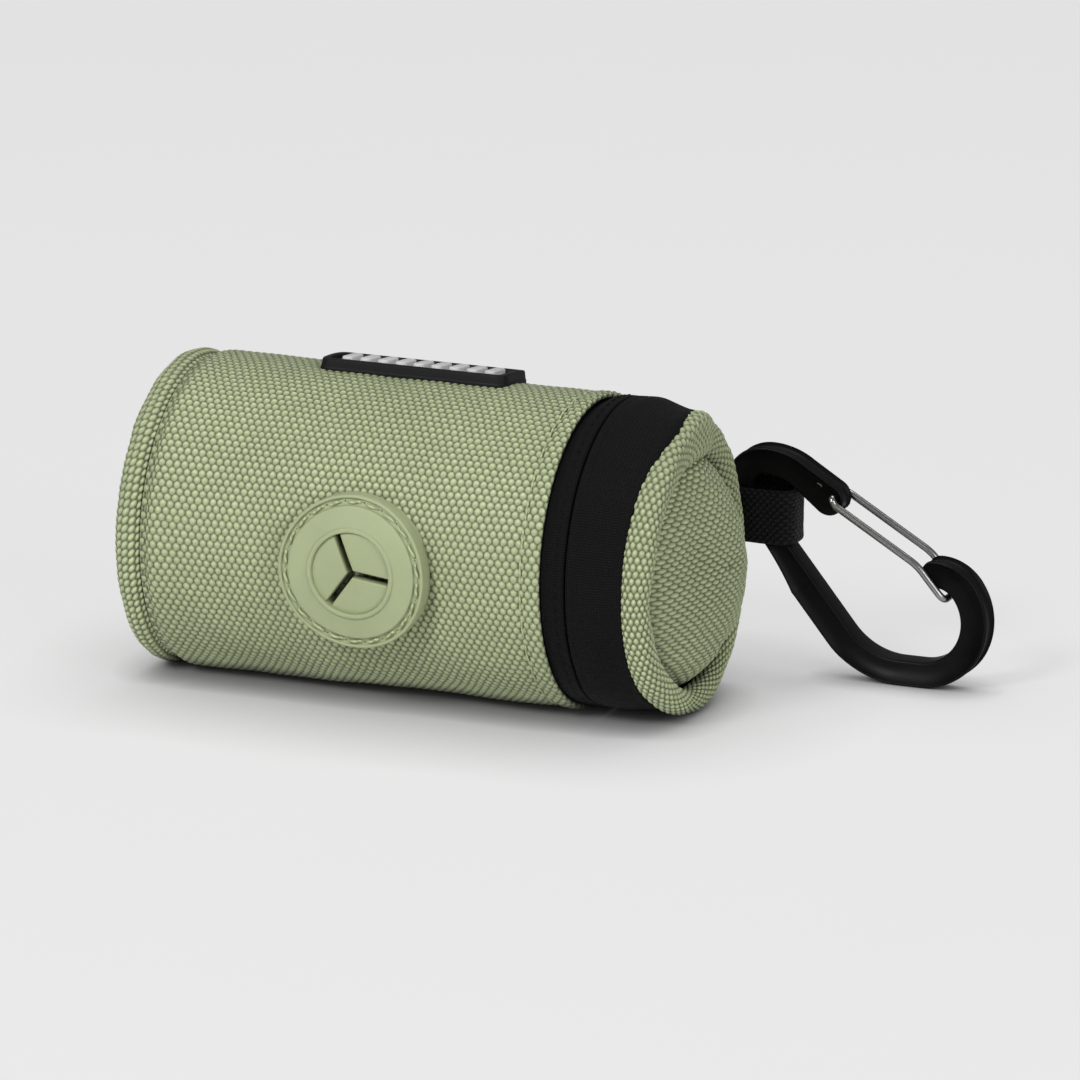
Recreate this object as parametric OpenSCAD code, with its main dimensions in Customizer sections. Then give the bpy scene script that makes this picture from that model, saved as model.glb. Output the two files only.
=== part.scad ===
// Waste bag dispenser: a sewn fabric tube that lies on its side, with a zipped cap,
// a rubber patch with a three-way slit for pulling bags out, and a wire-gate carabiner.
// X runs along the tube towards the cap, the patch faces -Y, and Z = 0 is the surface it rests on.

/* [Tube] */
// Outer radius of the sewn tube
tube_r = 25; // [22:0.5:28]
// Length of the tube between the closed-end seam and the folded edge at the zip
tube_len = 69; // [62:1:76]
// Depth of the flat that the tube settles on
rest_flat = 0.4; // [0.2:0.1:0.6]
// Thickness of the outer fabric
fabric_t = 0.8; // [0.6:0.1:1]
// Thickness of the foam between fabric and lining
foam_t = 1.2; // [1:0.1:1.4]
// Thickness of the lining
lining_t = 0.4; // [0.3:0.1:0.5]
// Radius of the piping at the closed end
piping_r = 2.3; // [1.8:0.1:2.6]

/* [Dispensing patch] */
// Diameter of the rubber patch
patch_d = 25; // [22:0.5:28]
// Height of the patch's face above the tube
patch_h = 3; // [2.4:0.1:3.6]
// Radius to which the patch's face bends around the tube
patch_bend_r = 43; // [36:1:60]
// Distance of the patch's centre from the origin along the tube
patch_x = -4; // [-8:0.5:0]
// Length of each arm of the slit
slit_len = 6.6; // [5:0.1:7]
// Width of each arm of the slit
slit_w = 1.1; // [0.8:0.1:1.4]
// Turn of the slit away from the tube's axis
slit_turn = -7; // [-20:1:20]

/* [Label] */
// Length of the rubber label
label_len = 32.6; // [28:0.2:38]
// Width of the rubber label
label_w = 10.4; // [9:0.2:13]
// Height of the label's rim above the tube
label_h = 2.4; // [1.8:0.1:2.8]
// Lean of the label towards the rear, from the top of the tube
label_lean = 7; // [0:1:24]

/* [Zip] */
// Width of zip tape that shows between the tube and the cap
band_w = 13.5; // [12:0.5:16]
// Half the arc at the rear where the fabric hinge replaces the zip
hinge_half_arc = 32; // [28:1:34]
// Radial thickness of the zip coil
coil_t = 1.4; // [1.2:0.1:1.6]
// Pitch of the zip coil's teeth along the tape
coil_pitch = 2.4; // [2:0.1:3]

/* [Cap] */
// Radius of the padded roll round the cap's end
roll_r = 3.1; // [2.6:0.1:3.4]
// Height of the crown of the cap's end panel
crown_h = 5.3; // [3:0.1:6]

/* [Webbing loop] */
// Width of the webbing
webbing_w = 9; // [8:0.1:9]
// Thickness of the webbing
webbing_t = 1.2; // [1:0.1:1.2]

/* [Carabiner] */
// Width of the carabiner's bar
bar_w = 4.3; // [4:0.1:4.4]
// Thickness of the carabiner's bar
bar_t = 4.2; // [3.6:0.1:4.2]
// Radius of the gate's wire
wire_r = 0.6; // [0.5:0.05:0.65]

/* [Bag roll] */
// Radius of a full roll of bags
bags_r = 14.5; // [12:0.5:15]
// Length of the roll of bags
bags_len = 60; // [50:1:60]

/* [Hidden] */
$fn = 96;
eps = 0.01;
big = 200;

axis_z = tube_r - rest_flat;
foam_r = tube_r - fabric_t;
lining_r = foam_r - foam_t;
bore_r = lining_r - lining_t;
closed_x = -42;
edge_x = closed_x + tube_len;
cap_seam_x = edge_x + band_w;

sage = [0.62, 0.68, 0.46];
black = [0.06, 0.06, 0.065];
grey = [0.45, 0.46, 0.46];
steel = [0.62, 0.62, 0.63];

// Zip: two tapes that meet at close_x, with the coils on their inner side
close_x = edge_x + 0.31 * band_w;
close_gap = 0.8;
tape_t = 0.6;
tape_out_r = foam_r;
tape_in_r = tape_out_r - tape_t;
tape_under = 3.5;
coil_w = 1.5;
coil_in_r = tape_in_r - coil_t;
coil_start = hinge_half_arc + 4;
stop_arc = 3;

// Slider and its pull, parked at the lower end of the zip
slider_turn = -52;
slider_len = 10;
slider_half_w = 3.9;
slider_cap_reach = 2.7;
slider_plate_t = 0.9;
slider_gap = 0.5;
slider_out_r = tape_out_r + slider_gap + slider_plate_t;
slider_in_r = coil_in_r - 0.2;
bridge_w = 2;
bridge_rise = 1.5;
bridge_bar_t = 0.7;
bridge_span = 6;
pull_pivot_r = slider_out_r + bridge_rise / 2;
pull_pin_r = 0.45;
pull_arm_t = 0.7;
pull_arm_gap = 0.5;
pull_t = 0.9;
pull_eye_len = 5;
pull_len = 15;
pull_w = 4.6;
pull_hole_r = 1.1;
pull_lie = -13;

// Cap
roll_x = cap_seam_x + roll_r + 0.1;
roll_ring_r = tube_r - 0.8 - roll_r;
roll_inner_r = roll_ring_r - roll_r;
dome_r = roll_inner_r - 0.05;
dome_steps = 16;
cap_floor_x = cap_seam_x + 1.5;

// Hinge of the cap and root of the loop
loop_root_x = 32;
loop_free_x = 34.6;
loop_end_x = 50;
loop_z = 26;
loop_front_y = tube_r + 0.1;
loop_gap = 4.9;
loop_spread_x = 36.1;
loop_corner_r = 3;

// Carabiner: a bar bent along tangent arcs, in its own plane. [u, v] run along X and Z from the
// point where it stands on the floor.
carabiner_x = 71.05;
carabiner_y = 28.7;
spine_tilt = 51;
spine_n = [sin(spine_tilt), cos(spine_tilt)];
heel_r = 13.4;
heel_c = [-3.2, bar_w / 2 + heel_r];
toe_r = 9.1;
toe_c = [0.3, bar_w / 2 + toe_r];
toe_end = 35.6;
nose_r = 6;
nose_c = toe_c + (toe_r - nose_r) * [cos(toe_end), sin(toe_end)];
nose_end = 90;
neck_r = 4.6;
arch_r = 10.2;
arch_top = 34.9;
arch_end = 35.5;
spine_start = heel_c - heel_r * spine_n;
neck_v = arch_top - neck_r;
neck_u = (spine_start * spine_n + neck_r - neck_v * spine_n[1]) / spine_n[0];
neck_c = [neck_u, neck_v];
arch_c = [neck_u, arch_top - arch_r];
spine_end = neck_c - neck_r * spine_n;
head_start = arch_c + arch_r * [sin(arch_end), cos(arch_end)];
head_len = 5.9;
head_end = head_start + head_len * [cos(arch_end), -sin(arch_end)];
head_end_r = 2.55;
// Waist cut into the back of the spine, where the webbing sits
waist_r = 50;
waist_depth = 1.3;
waist_at = spine_start + 0.81 * (spine_end - spine_start) - (bar_w / 2) * spine_n;
waist_c = waist_at - (waist_r - waist_depth) * spine_n;

// Wire gate
gate_pivot = head_end + [1.1, 0.5];
gate_bend = [0.5, 21.1];
gate_tip = [4.85, 15.4];
gate_clear = 0.2;
gate_leg_w = bar_t / 2 + gate_clear + wire_r;
gate_pin_r = wire_r - 0.05;
gate_pin_depth = 1.4;
gate_hole_r = gate_pin_r + 0.08;
gate_hole_depth = 1.6;
wire_end_at = head_start + 3.45 * [cos(arch_end), -sin(arch_end)] + 0.6 * [sin(arch_end), cos(arch_end)];
wire_end_r = 0.75;

// Bag roll, lying at the bottom of the bore
core_out_r = 6.3;
core_in_r = 5.5;
bags_x = closed_x + 4.5;
bags_z = axis_z - bore_r + bags_r + 0.3;

module on_axis() translate([0, 0, axis_z]) children();

module x_rod(r, x0, x1)
    translate([x0, 0, 0])
    rotate([0, 90, 0])
    cylinder(r = r, h = x1 - x0);

module x_ring(r_in, r_out, x0, x1)
    difference() {
        x_rod(r_out, x0, x1);
        x_rod(r_in, x0 - 1, x1 + 1);
    }

// A solid of revolution about X from a profile drawn in [radius, x]
module x_turned() rotate([90, 0, 90]) rotate_extrude() children();

// A ring sector about X, centred on the rear and turned up by turn
module x_sector(r_in, r_out, x0, x1, half_arc, turn = 0)
    rotate([turn, 0, 0])
    rotate([90, 0, 90])
    rotate([0, 0, -half_arc])
    rotate_extrude(angle = 2 * half_arc)
    translate([r_in, x0])
    square([r_out - r_in, x1 - x0]);

module above_floor()
    intersection() {
        children();
        translate([-big / 2, -big / 2, 0])
        cube([big, big, big]);
    }

module patch_window(r) translate([patch_x, 0, 0]) rotate([90, 0, 0]) cylinder(r = r, h = tube_r + 10);

// --- Tube ---
window_r = 6.9;

module tube_layer(r_in, r_out, x0, x1)
    difference() {
        x_ring(r_in, r_out, x0, x1);
        patch_window(window_r);
    }

module outer_shell() {
    color(sage)
    above_floor()
    on_axis()
    tube_layer(foam_r, tube_r, closed_x, edge_x);
}

module tube_padding() {
    color("gainsboro")
    on_axis()
    tube_layer(lining_r, foam_r, closed_x + fabric_t + foam_t, edge_x - tape_under);
}

module tube_lining() {
    color(grey)
    on_axis()
    tube_layer(bore_r, lining_r, closed_x + fabric_t + foam_t + lining_t, edge_x - tape_under);
}

// --- Closed end ---
piping_ring_r = tube_r + 0.1 - piping_r;
piping_x = closed_x - piping_r;
panel_dome_r = piping_ring_r - piping_r - 0.05;
panel_crown = 2;

function crown(r, edge_r, h) = h * (1 - pow(r / edge_r, 2));

// Profile of a crowned disc, [radius, x], with its crown towards +x
function crowned(edge_r, h, t) = [
    for (i = [0:dome_steps]) [edge_r * i / dome_steps, t + crown(edge_r * i / dome_steps, edge_r, h)],
    [edge_r, 0],
    [0, 0]
];

module closed_end_panel() {
    color(sage)
    on_axis() {
        x_rod(foam_r, closed_x, closed_x + fabric_t);
        translate([closed_x, 0, 0])
        mirror([1, 0, 0])
        x_turned()
        polygon(crowned(panel_dome_r, panel_crown, 0));
    }
}

module closed_end_padding() {
    color("gainsboro")
    on_axis()
    x_rod(foam_r, closed_x + fabric_t, closed_x + fabric_t + foam_t);
}

module closed_end_lining() {
    color(grey)
    on_axis()
    x_rod(lining_r, closed_x + fabric_t + foam_t, closed_x + fabric_t + foam_t + lining_t);
}

module closed_end_piping() {
    color(sage)
    above_floor()
    on_axis()
    x_turned()
    translate([piping_ring_r, piping_x])
    circle(r = piping_r);
}

module closed_end_binding() {
    color(black)
    on_axis()
    x_ring(bore_r - 1.4, bore_r, closed_x + fabric_t + foam_t + lining_t, closed_x + 3.6);
}

// --- Patch: disc sections between the tube and a gently bent face ---
patch_groove_r = 11.4;
patch_groove_w = 1.2;
patch_groove_depth = 0.5;
patch_ring_r = 7.4;
patch_ring_w = 0.8;
patch_ring_h = 0.4;

module patch_face(sink)
    translate([0, patch_bend_r - tube_r - patch_h, 0])
    x_rod(patch_bend_r - sink, -big / 2, big / 2);

module patch_disc(r, sink)
    intersection() {
        patch_window(r);
        patch_face(sink);
    }

module patch_cut(r_out, r_in, sink)
    difference() {
        patch_window(r_out);
        if (r_in > 0) patch_window(r_in);
        patch_face(sink);
    }

module slit()
    for (k = [0:2])
        translate([patch_x, 0, 0])
        rotate([90, 0, 0])
        rotate([0, 0, slit_turn + 120 * k])
        translate([-slit_w / 2, -slit_w / 2, 0])
        cube([slit_len + slit_w / 2, slit_w, tube_r + 10]);

module dispenser_patch() {
    color([0.66, 0.7, 0.52])
    on_axis()
    difference() {
        union() {
            patch_disc(patch_d / 2, 0);
            patch_disc(patch_ring_r, -patch_ring_h);
        }
        patch_cut(patch_ring_r - patch_ring_w, 0, 0.2);
        patch_cut(patch_groove_r + patch_groove_w / 2, patch_groove_r - patch_groove_w / 2, patch_groove_depth);
        x_rod(tube_r, -big / 2, big / 2);
        slit();
    }
}

// --- Label: a rimmed plate that bends a little with the tube ---
label_x = patch_x - 0.9;
label_corner = 1.2;
label_rim = 1.5;
label_floor = 0.9;
label_bend_r = 45;

module rounded_bar(l, w, r, h)
    union() {
        translate([-l / 2 + r, -w / 2, 0])
        cube([l - 2 * r, w, h]);
        translate([-l / 2, -w / 2 + r, 0])
        cube([l, w - 2 * r, h]);
        for (x = [-1, 1], y = [-1, 1])
            translate([x * (l / 2 - r), y * (w / 2 - r), 0])
            cylinder(r = r, h = h, $fn = 32);
    }

module label_face(sink)
    translate([0, 0, tube_r + label_h - label_bend_r])
    x_rod(label_bend_r - sink, -big / 2, big / 2);

module body_label() {
    color(black)
    on_axis()
    rotate([-label_lean, 0, 0])
    difference() {
        intersection() {
            translate([label_x, 0, 0])
            rounded_bar(label_len, label_w, label_corner, tube_r + 10);
            label_face(0);
        }
        difference() {
            translate([label_x, 0, 0])
            rounded_bar(label_len - 2 * label_rim, label_w - 2 * label_rim, label_corner / 2, tube_r + 10);
            label_face(label_floor);
        }
        x_rod(tube_r, -big / 2, big / 2);
    }
}

// --- Zip ---
tape_edge_tube = close_x - close_gap / 2;
tape_edge_cap = close_x + close_gap / 2;

module zip_tape_tube() {
    color(black)
    on_axis()
    x_ring(tape_in_r, tape_out_r, edge_x - tape_under, tape_edge_tube);
}

module zip_tape_cap() {
    color(black)
    on_axis()
    x_ring(tape_in_r, tape_out_r, tape_edge_cap, cap_seam_x);
}

// One side of the coil: a cord with teeth cut into its flank that faces the other side
module coil_side(x0, toward)
    difference() {
        x_sector(coil_in_r, tape_in_r, x0, x0 + coil_w, 180 - coil_start, 180);
        for (a = [coil_start + 2:coil_pitch / tape_in_r * 180 / PI:360 - coil_start - 2])
            rotate([a, 0, 0])
            translate([x0 + (toward > 0 ? coil_w / 2 : -coil_w / 2), tape_in_r - 0.5, -coil_pitch / 4])
            translate([0, -coil_t, 0])
            cube([coil_w, coil_t, coil_pitch / 2]);
    }

module zip_coil_tube() {
    color(grey)
    on_axis()
    coil_side(tape_edge_tube - coil_w, 1);
}

module zip_coil_cap() {
    color(grey)
    on_axis()
    coil_side(tape_edge_cap, -1);
}

module zip_stops() {
    color(steel)
    on_axis()
    for (turn = [-1, 1])
        x_sector(coil_in_r, tape_in_r, tape_edge_tube - coil_w, tape_edge_tube, stop_arc / 2,
            turn * (coil_start - stop_arc / 2));
}

module hinge_tab() {
    color(sage)
    on_axis()
    x_sector(tape_out_r, tape_out_r + fabric_t, edge_x + 0.3, cap_seam_x - 0.3, hinge_half_arc);
}

module zip_slider() {
    slider_arc = slider_len / tape_out_r * 90 / PI;
    post_arc = 0.5 / tape_out_r * 180 / PI;
    color([0.12, 0.12, 0.125])
    on_axis()
    difference() {
        union() {
            x_sector(slider_out_r - slider_plate_t, slider_out_r, close_x - slider_half_w,
                close_x + slider_cap_reach, slider_arc, slider_turn);
            x_sector(slider_in_r - slider_plate_t, slider_in_r, close_x - slider_half_w,
                close_x + slider_half_w, slider_arc, slider_turn);
            x_sector(slider_in_r - eps, slider_out_r - slider_plate_t + eps, close_x - 0.25, close_x + 0.25,
                slider_arc / 3, slider_turn + slider_arc * 2 / 3);
            x_sector(slider_in_r - eps, tape_in_r - 0.3, close_x - slider_half_w,
                close_x - slider_half_w + 1.2, slider_arc, slider_turn);
            rotate([slider_turn, 0, 0])
            translate([close_x - bridge_w / 2, slider_out_r - 0.2, -bridge_span / 2])
            cube([bridge_w, bridge_rise + bridge_bar_t + 0.2, bridge_span]);
        }
        rotate([slider_turn, 0, 0])
        translate([close_x - bridge_w, slider_out_r + 0.05, -bridge_span / 2 + 0.8])
        cube([2 * bridge_w, bridge_rise - 0.05, bridge_span - 1.6]);
        for (s = [-1, 1])
            rotate([slider_turn, 0, 0])
            translate([close_x + s * (slider_half_w + 0.6), 0, -slider_len / 2 - 1])
            rotate([0, s * 8, 0])
            translate([-1.2, slider_in_r - 2, -slider_len])
            cube([2.4, 8, slider_len]);
    }
}

module zip_pull() {
    color([0.12, 0.12, 0.125])
    on_axis()
    rotate([slider_turn, 0, 0])
    translate([close_x, pull_pivot_r, 0])
    rotate([pull_lie - slider_turn, 0, 0])
    difference() {
        union() {
            x_rod(pull_pin_r, -pull_w / 2, pull_w / 2);
            for (s = [-1, 1])
                translate([s * (bridge_w / 2 + pull_arm_gap + pull_arm_t / 2) - pull_arm_t / 2, 0, -pull_t / 2])
                cube([pull_arm_t, pull_eye_len + 1, pull_t]);
            translate([-pull_w / 2, pull_eye_len, -pull_t / 2])
            cube([pull_w, pull_len - pull_eye_len - pull_w / 2, pull_t]);
            translate([0, pull_len - pull_w / 2, -pull_t / 2])
            cylinder(r = pull_w / 2, h = pull_t);
        }
        translate([0, pull_len - pull_w / 2, -pull_t])
        cylinder(r = pull_hole_r, h = 2 * pull_t);
    }
}

// --- Cap ---
module cap_side_lining() {
    color(grey)
    on_axis()
    x_ring(tape_in_r - lining_t, tape_in_r, tape_edge_cap + coil_w + 0.5, cap_seam_x);
}

module cap_roll() {
    color(sage)
    above_floor()
    on_axis()
    x_turned()
    translate([roll_ring_r, roll_x])
    circle(r = roll_r);
}

module cap_end_panel() {
    color(sage)
    on_axis()
    difference() {
        translate([roll_x, 0, 0])
        x_turned()
        polygon(crowned(dome_r, crown_h, 0));
        translate([roll_x - fabric_t, 0, 0])
        x_turned()
        polygon(crowned(dome_r - 0.2, crown_h, 0));
    }
}

module cap_padding() {
    color("gainsboro")
    on_axis() {
        translate([roll_x - fabric_t, 0, 0])
        x_turned()
        polygon(crowned(dome_r - 0.2, crown_h, 0));
        x_rod(dome_r - 0.2, cap_floor_x, roll_x - fabric_t + eps);
    }
}

module cap_end_lining() {
    color(grey)
    on_axis()
    x_rod(dome_r - 0.2, cap_floor_x - lining_t, cap_floor_x);
}

module cap_binding() {
    color(black)
    on_axis()
    difference() {
        x_ring(dome_r, tape_in_r, cap_seam_x, cap_seam_x + 1.5);
        x_turned()
        translate([roll_ring_r, roll_x])
        circle(r = roll_r + 0.01);
    }
}

// --- Webbing: two ends sewn down behind the cap, and a free loop round the carabiner's neck ---
module webbing_root() {
    color(black)
    translate([loop_root_x, loop_front_y, loop_z - webbing_w / 2])
    cube([loop_free_x - loop_root_x, 2 * webbing_t, webbing_w]);
}

module webbing_loop() {
    y0 = loop_front_y;
    y1 = y0 + 2 * webbing_t + loop_gap;
    color(black)
    translate([0, 0, loop_z - webbing_w / 2])
    linear_extrude(height = webbing_w)
    difference() {
        union() {
            polygon([
                [loop_free_x, y0], [loop_end_x - loop_corner_r, y0], [loop_end_x - loop_corner_r, y1],
                [loop_spread_x, y1], [loop_free_x, y0 + 2 * webbing_t]
            ]);
            translate([loop_end_x - loop_corner_r - eps, y0 + loop_corner_r])
            square([loop_corner_r + eps, y1 - y0 - 2 * loop_corner_r]);
            for (y = [y0 + loop_corner_r, y1 - loop_corner_r])
                translate([loop_end_x - loop_corner_r, y])
                circle(r = loop_corner_r, $fn = 32);
        }
        polygon([
            [loop_free_x + 0.6, y0 + webbing_t], [loop_end_x - webbing_t, y0 + webbing_t],
            [loop_end_x - webbing_t, y1 - webbing_t], [loop_spread_x + 0.6, y1 - webbing_t]
        ]);
    }
}

// --- Carabiner ---
module carabiner_frame()
    translate([carabiner_x, carabiner_y, 0])
    rotate([90, 0, 0])
    children();

function arc(c, r, a0, a1, n = 12) = [
    for (i = [0:n]) let (a = a0 + (a1 - a0) * i / n) c + r * [cos(a), sin(a)]
];

// One side of the bent bar, side away from its middle line, from the head's end to the nose
function bar_side(side) = [
    each arc(arch_c, arch_r + side, 90 - arch_end, 90),
    each arc(neck_c, neck_r + side, 90, 270 - spine_tilt),
    each arc(heel_c, heel_r + side, 270 - spine_tilt, 270),
    each arc(toe_c, toe_r + side, -90, toe_end, 20),
    each arc(nose_c, nose_r + side, toe_end, nose_end)
];

function reversed(points) = [for (i = [len(points) - 1:-1:0]) points[i]];

module carabiner_body() {
    color(black)
    carabiner_frame()
    difference() {
        translate([0, 0, -bar_t / 2])
        linear_extrude(height = bar_t)
        polygon([
            each bar_side(bar_w / 2),
            each arc(nose_c + nose_r * [cos(nose_end), sin(nose_end)], bar_w / 2, nose_end, nose_end + 180),
            each reversed(bar_side(-bar_w / 2)),
            each arc(head_end, head_end_r, -90 - arch_end, 90 - arch_end)
        ]);
        translate([waist_c[0], waist_c[1], 0])
        cylinder(r = waist_r, h = bar_t + 1, center = true, $fn = 180);
        for (s = [-1, 1])
            translate([gate_pivot[0], gate_pivot[1], s * (bar_t / 2 - gate_hole_depth / 2)])
            cylinder(r = gate_hole_r, h = gate_hole_depth + eps, center = true);
        translate([wire_end_at[0], wire_end_at[1], 0])
        cylinder(r = wire_end_r, h = bar_t + 1, center = true);
    }
}

module gate_wire_end() {
    color(steel)
    carabiner_frame()
    translate([wire_end_at[0], wire_end_at[1], -bar_t / 2])
    cylinder(r = wire_end_r, h = bar_t - 0.3);
}

module wire_run(p, q, w)
    hull()
        for (at = [p, q])
            translate([at[0], at[1], w])
            sphere(r = wire_r, $fn = 20);

module carabiner_gate() {
    color(steel)
    carabiner_frame() {
        for (s = [-1, 1]) {
            wire_run(gate_pivot, gate_bend, s * gate_leg_w);
            wire_run(gate_bend, gate_tip, s * gate_leg_w);
            translate([gate_pivot[0], gate_pivot[1], s > 0 ? bar_t / 2 - gate_pin_depth : -gate_leg_w])
            cylinder(r = gate_pin_r, h = gate_leg_w - bar_t / 2 + gate_pin_depth);
        }
        translate([gate_tip[0], gate_tip[1], -gate_leg_w])
        cylinder(r = gate_pin_r, h = 2 * gate_leg_w);
    }
}

// --- Roll of bags ---
module roll_core() {
    color("burlywood")
    translate([0, 0, bags_z])
    x_ring(core_in_r, core_out_r, bags_x + 1, bags_x + bags_len - 1);
}

module bag_roll() {
    color([0.2, 0.2, 0.21])
    translate([0, 0, bags_z])
    x_ring(core_out_r, bags_r, bags_x, bags_x + bags_len);
}

outer_shell();
tube_padding();
tube_lining();
closed_end_panel();
closed_end_padding();
closed_end_lining();
closed_end_piping();
closed_end_binding();
dispenser_patch();
body_label();
zip_tape_tube();
zip_coil_tube();
zip_stops();
hinge_tab();
zip_tape_cap();
zip_coil_cap();
zip_slider();
zip_pull();
cap_side_lining();
cap_roll();
cap_end_panel();
cap_padding();
cap_end_lining();
cap_binding();
webbing_root();
webbing_loop();
carabiner_body();
gate_wire_end();
carabiner_gate();
roll_core();
bag_roll();
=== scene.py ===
"""Zipped waste bag dispenser: woven cover, rubber patch and label, padded cap, webbing and wire-gate clip."""

import math

import bpy
import numpy as np
from bpy.props import FloatProperty, FloatVectorProperty, IntProperty, PointerProperty
from bpy.types import Operator, Panel, PropertyGroup
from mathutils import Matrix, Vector, noise


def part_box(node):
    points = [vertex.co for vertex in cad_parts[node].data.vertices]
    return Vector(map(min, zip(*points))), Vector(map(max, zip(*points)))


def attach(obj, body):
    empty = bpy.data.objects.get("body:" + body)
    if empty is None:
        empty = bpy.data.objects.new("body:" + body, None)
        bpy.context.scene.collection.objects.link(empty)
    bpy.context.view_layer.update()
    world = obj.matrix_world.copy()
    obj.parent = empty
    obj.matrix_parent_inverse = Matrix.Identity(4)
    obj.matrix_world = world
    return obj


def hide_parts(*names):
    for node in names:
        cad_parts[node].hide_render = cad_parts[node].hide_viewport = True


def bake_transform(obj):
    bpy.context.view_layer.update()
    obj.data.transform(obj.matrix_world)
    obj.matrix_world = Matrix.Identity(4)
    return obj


bl_info = {
    "name": "Bag Dispenser Builder",
    "version": (1, 0, 0),
    "blender": (4, 5, 0),
    "location": "View3D > Sidebar > Dispenser",
    "description": "Dresses the dispenser's frame in cloth, rubber, webbing and metal",
    "category": "Object",
}

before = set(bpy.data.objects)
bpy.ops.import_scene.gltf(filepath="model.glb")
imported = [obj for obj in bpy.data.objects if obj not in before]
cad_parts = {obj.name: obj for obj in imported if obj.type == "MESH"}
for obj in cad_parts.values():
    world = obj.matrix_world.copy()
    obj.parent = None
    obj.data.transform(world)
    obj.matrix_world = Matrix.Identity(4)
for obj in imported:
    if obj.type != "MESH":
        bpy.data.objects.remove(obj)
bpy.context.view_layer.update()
MM = 0.001
FULL = 2 * math.pi


def box_mm(node):
    """A node's lowest and highest corners in millimetres."""
    low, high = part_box(node)
    return [1000 * c for c in low], [1000 * c for c in high]


SHELL_LOW, SHELL_HIGH = box_mm("outer_shell")
TUBE_R = (SHELL_HIGH[1] - SHELL_LOW[1]) / 2
AXIS_Z = SHELL_HIGH[2] - TUBE_R
CLOSED_X, EDGE_X = SHELL_LOW[0], SHELL_HIGH[0]
CLOSE_X = (box_mm("zip_tape_tube")[1][0] + box_mm("zip_tape_cap")[0][0]) / 2
SEAM_X = box_mm("zip_tape_cap")[1][0]
TAPE_R = box_mm("zip_tape_cap")[1][1]


# --- Settings -------------------------------------------------------------------------------


class ClothSettings(PropertyGroup):
    """The woven cover cloth."""

    colour: FloatVectorProperty(
        name="Cloth colour", description="Colour of the yarn", subtype="COLOR", size=3,
        default=(0.362, 0.412, 0.228), min=0, max=1,
    )
    yarn_along: FloatProperty(
        name="Yarn pitch along", description="Spacing of the yarns that run round the tube, in mm",
        default=0.64, min=0.4,
    )
    yarn_round: FloatProperty(
        name="Yarn pitch round", description="Spacing of the yarns that run along the tube, in mm",
        default=1.09, min=0.4,
    )
    relief: FloatProperty(
        name="Weave relief", description="Height of a yarn where it crosses over another, in mm", default=0.5, min=0
    )
    slack: FloatProperty(
        name="Slack", description="How far the cloth strays from a true cylinder, in mm", default=0.35, min=0
    )


class CoverSettings(PropertyGroup):
    """The tube's cover, its piping and its topstitching."""

    hem: FloatProperty(
        name="Hem width", description="Distance of the topstitching from the folded edge, in mm", default=3.2, min=1
    )
    stitch: FloatProperty(
        name="Stitch length", description="Distance between needle holes, in mm", default=4.9, min=1
    )
    thread: FloatProperty(name="Thread", description="Thickness of the sewing thread, in mm", default=0.36, min=0.1)
    piping: FloatProperty(
        name="Piping", description="Radius of the piping at the closed end, in mm", default=2.3, min=1
    )


class CapSettings(PropertyGroup):
    """The padded cap."""

    lean: FloatProperty(
        name="Lean", description="Angle by which the cap's end turns towards the rear",
        subtype="ANGLE", default=math.radians(5.4),
    )
    roll: FloatProperty(name="Roll", description="Radius of the padded roll, in mm", default=3.1, min=1)
    crown: FloatProperty(
        name="Crown", description="Height of the end panel above its seam, in mm", default=9.6, min=0
    )
    folds: FloatProperty(
        name="Folds", description="Depth of the soft folds in the end panel, in mm", default=0.55, min=0
    )


class PatchSettings(PropertyGroup):
    """The rubber patch that the bags are pulled through."""

    colour: FloatVectorProperty(
        name="Rubber colour", description="Colour of the patch", subtype="COLOR", size=3,
        default=(0.352, 0.402, 0.228), min=0, max=1,
    )
    diameter: FloatProperty(name="Diameter", description="Across the patch, in mm", default=25, min=10)
    stitches: IntProperty(name="Stitches", description="Stitches in the groove", default=22, min=6)


class ClipSettings(PropertyGroup):
    """The webbing, the carabiner and its wire gate."""

    bar: FloatProperty(name="Bar width", description="Width of the carabiner's bar, in mm", default=4.3, min=2)
    bevel: FloatProperty(name="Bevel", description="Rounding of the bar's edges, in mm", default=0.45, min=0.05)
    wire: FloatProperty(name="Wire radius", description="Radius of the gate's wire, in mm", default=0.6, min=0.2)


class StageSettings(PropertyGroup):
    """Camera, light and floor."""

    azimuth: FloatProperty(
        name="Azimuth", description="Turn of the camera about the object", subtype="ANGLE", default=math.radians(23)
    )
    elevation: FloatProperty(
        name="Elevation", description="Height of the camera as an angle", subtype="ANGLE", default=math.radians(15)
    )
    distance: FloatProperty(
        name="Distance", description="Camera to object", subtype="DISTANCE", unit="LENGTH", default=1.6, min=0.3
    )
    width: FloatProperty(
        name="View width", description="Width that the picture takes in at the object",
        subtype="DISTANCE", unit="LENGTH", default=0.1722, min=0.05,
    )
    backdrop: FloatVectorProperty(
        name="Backdrop", description="Colour of the floor and the backdrop", subtype="COLOR", size=3,
        default=(0.79, 0.79, 0.79), min=0, max=1,
    )


SETTINGS = {
    "dispenser_cloth": ClothSettings,
    "dispenser_cover": CoverSettings,
    "dispenser_cap": CapSettings,
    "dispenser_patch": PatchSettings,
    "dispenser_clip": ClipSettings,
    "dispenser_stage": StageSettings,
}


# --- Mesh making ----------------------------------------------------------------------------


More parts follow.
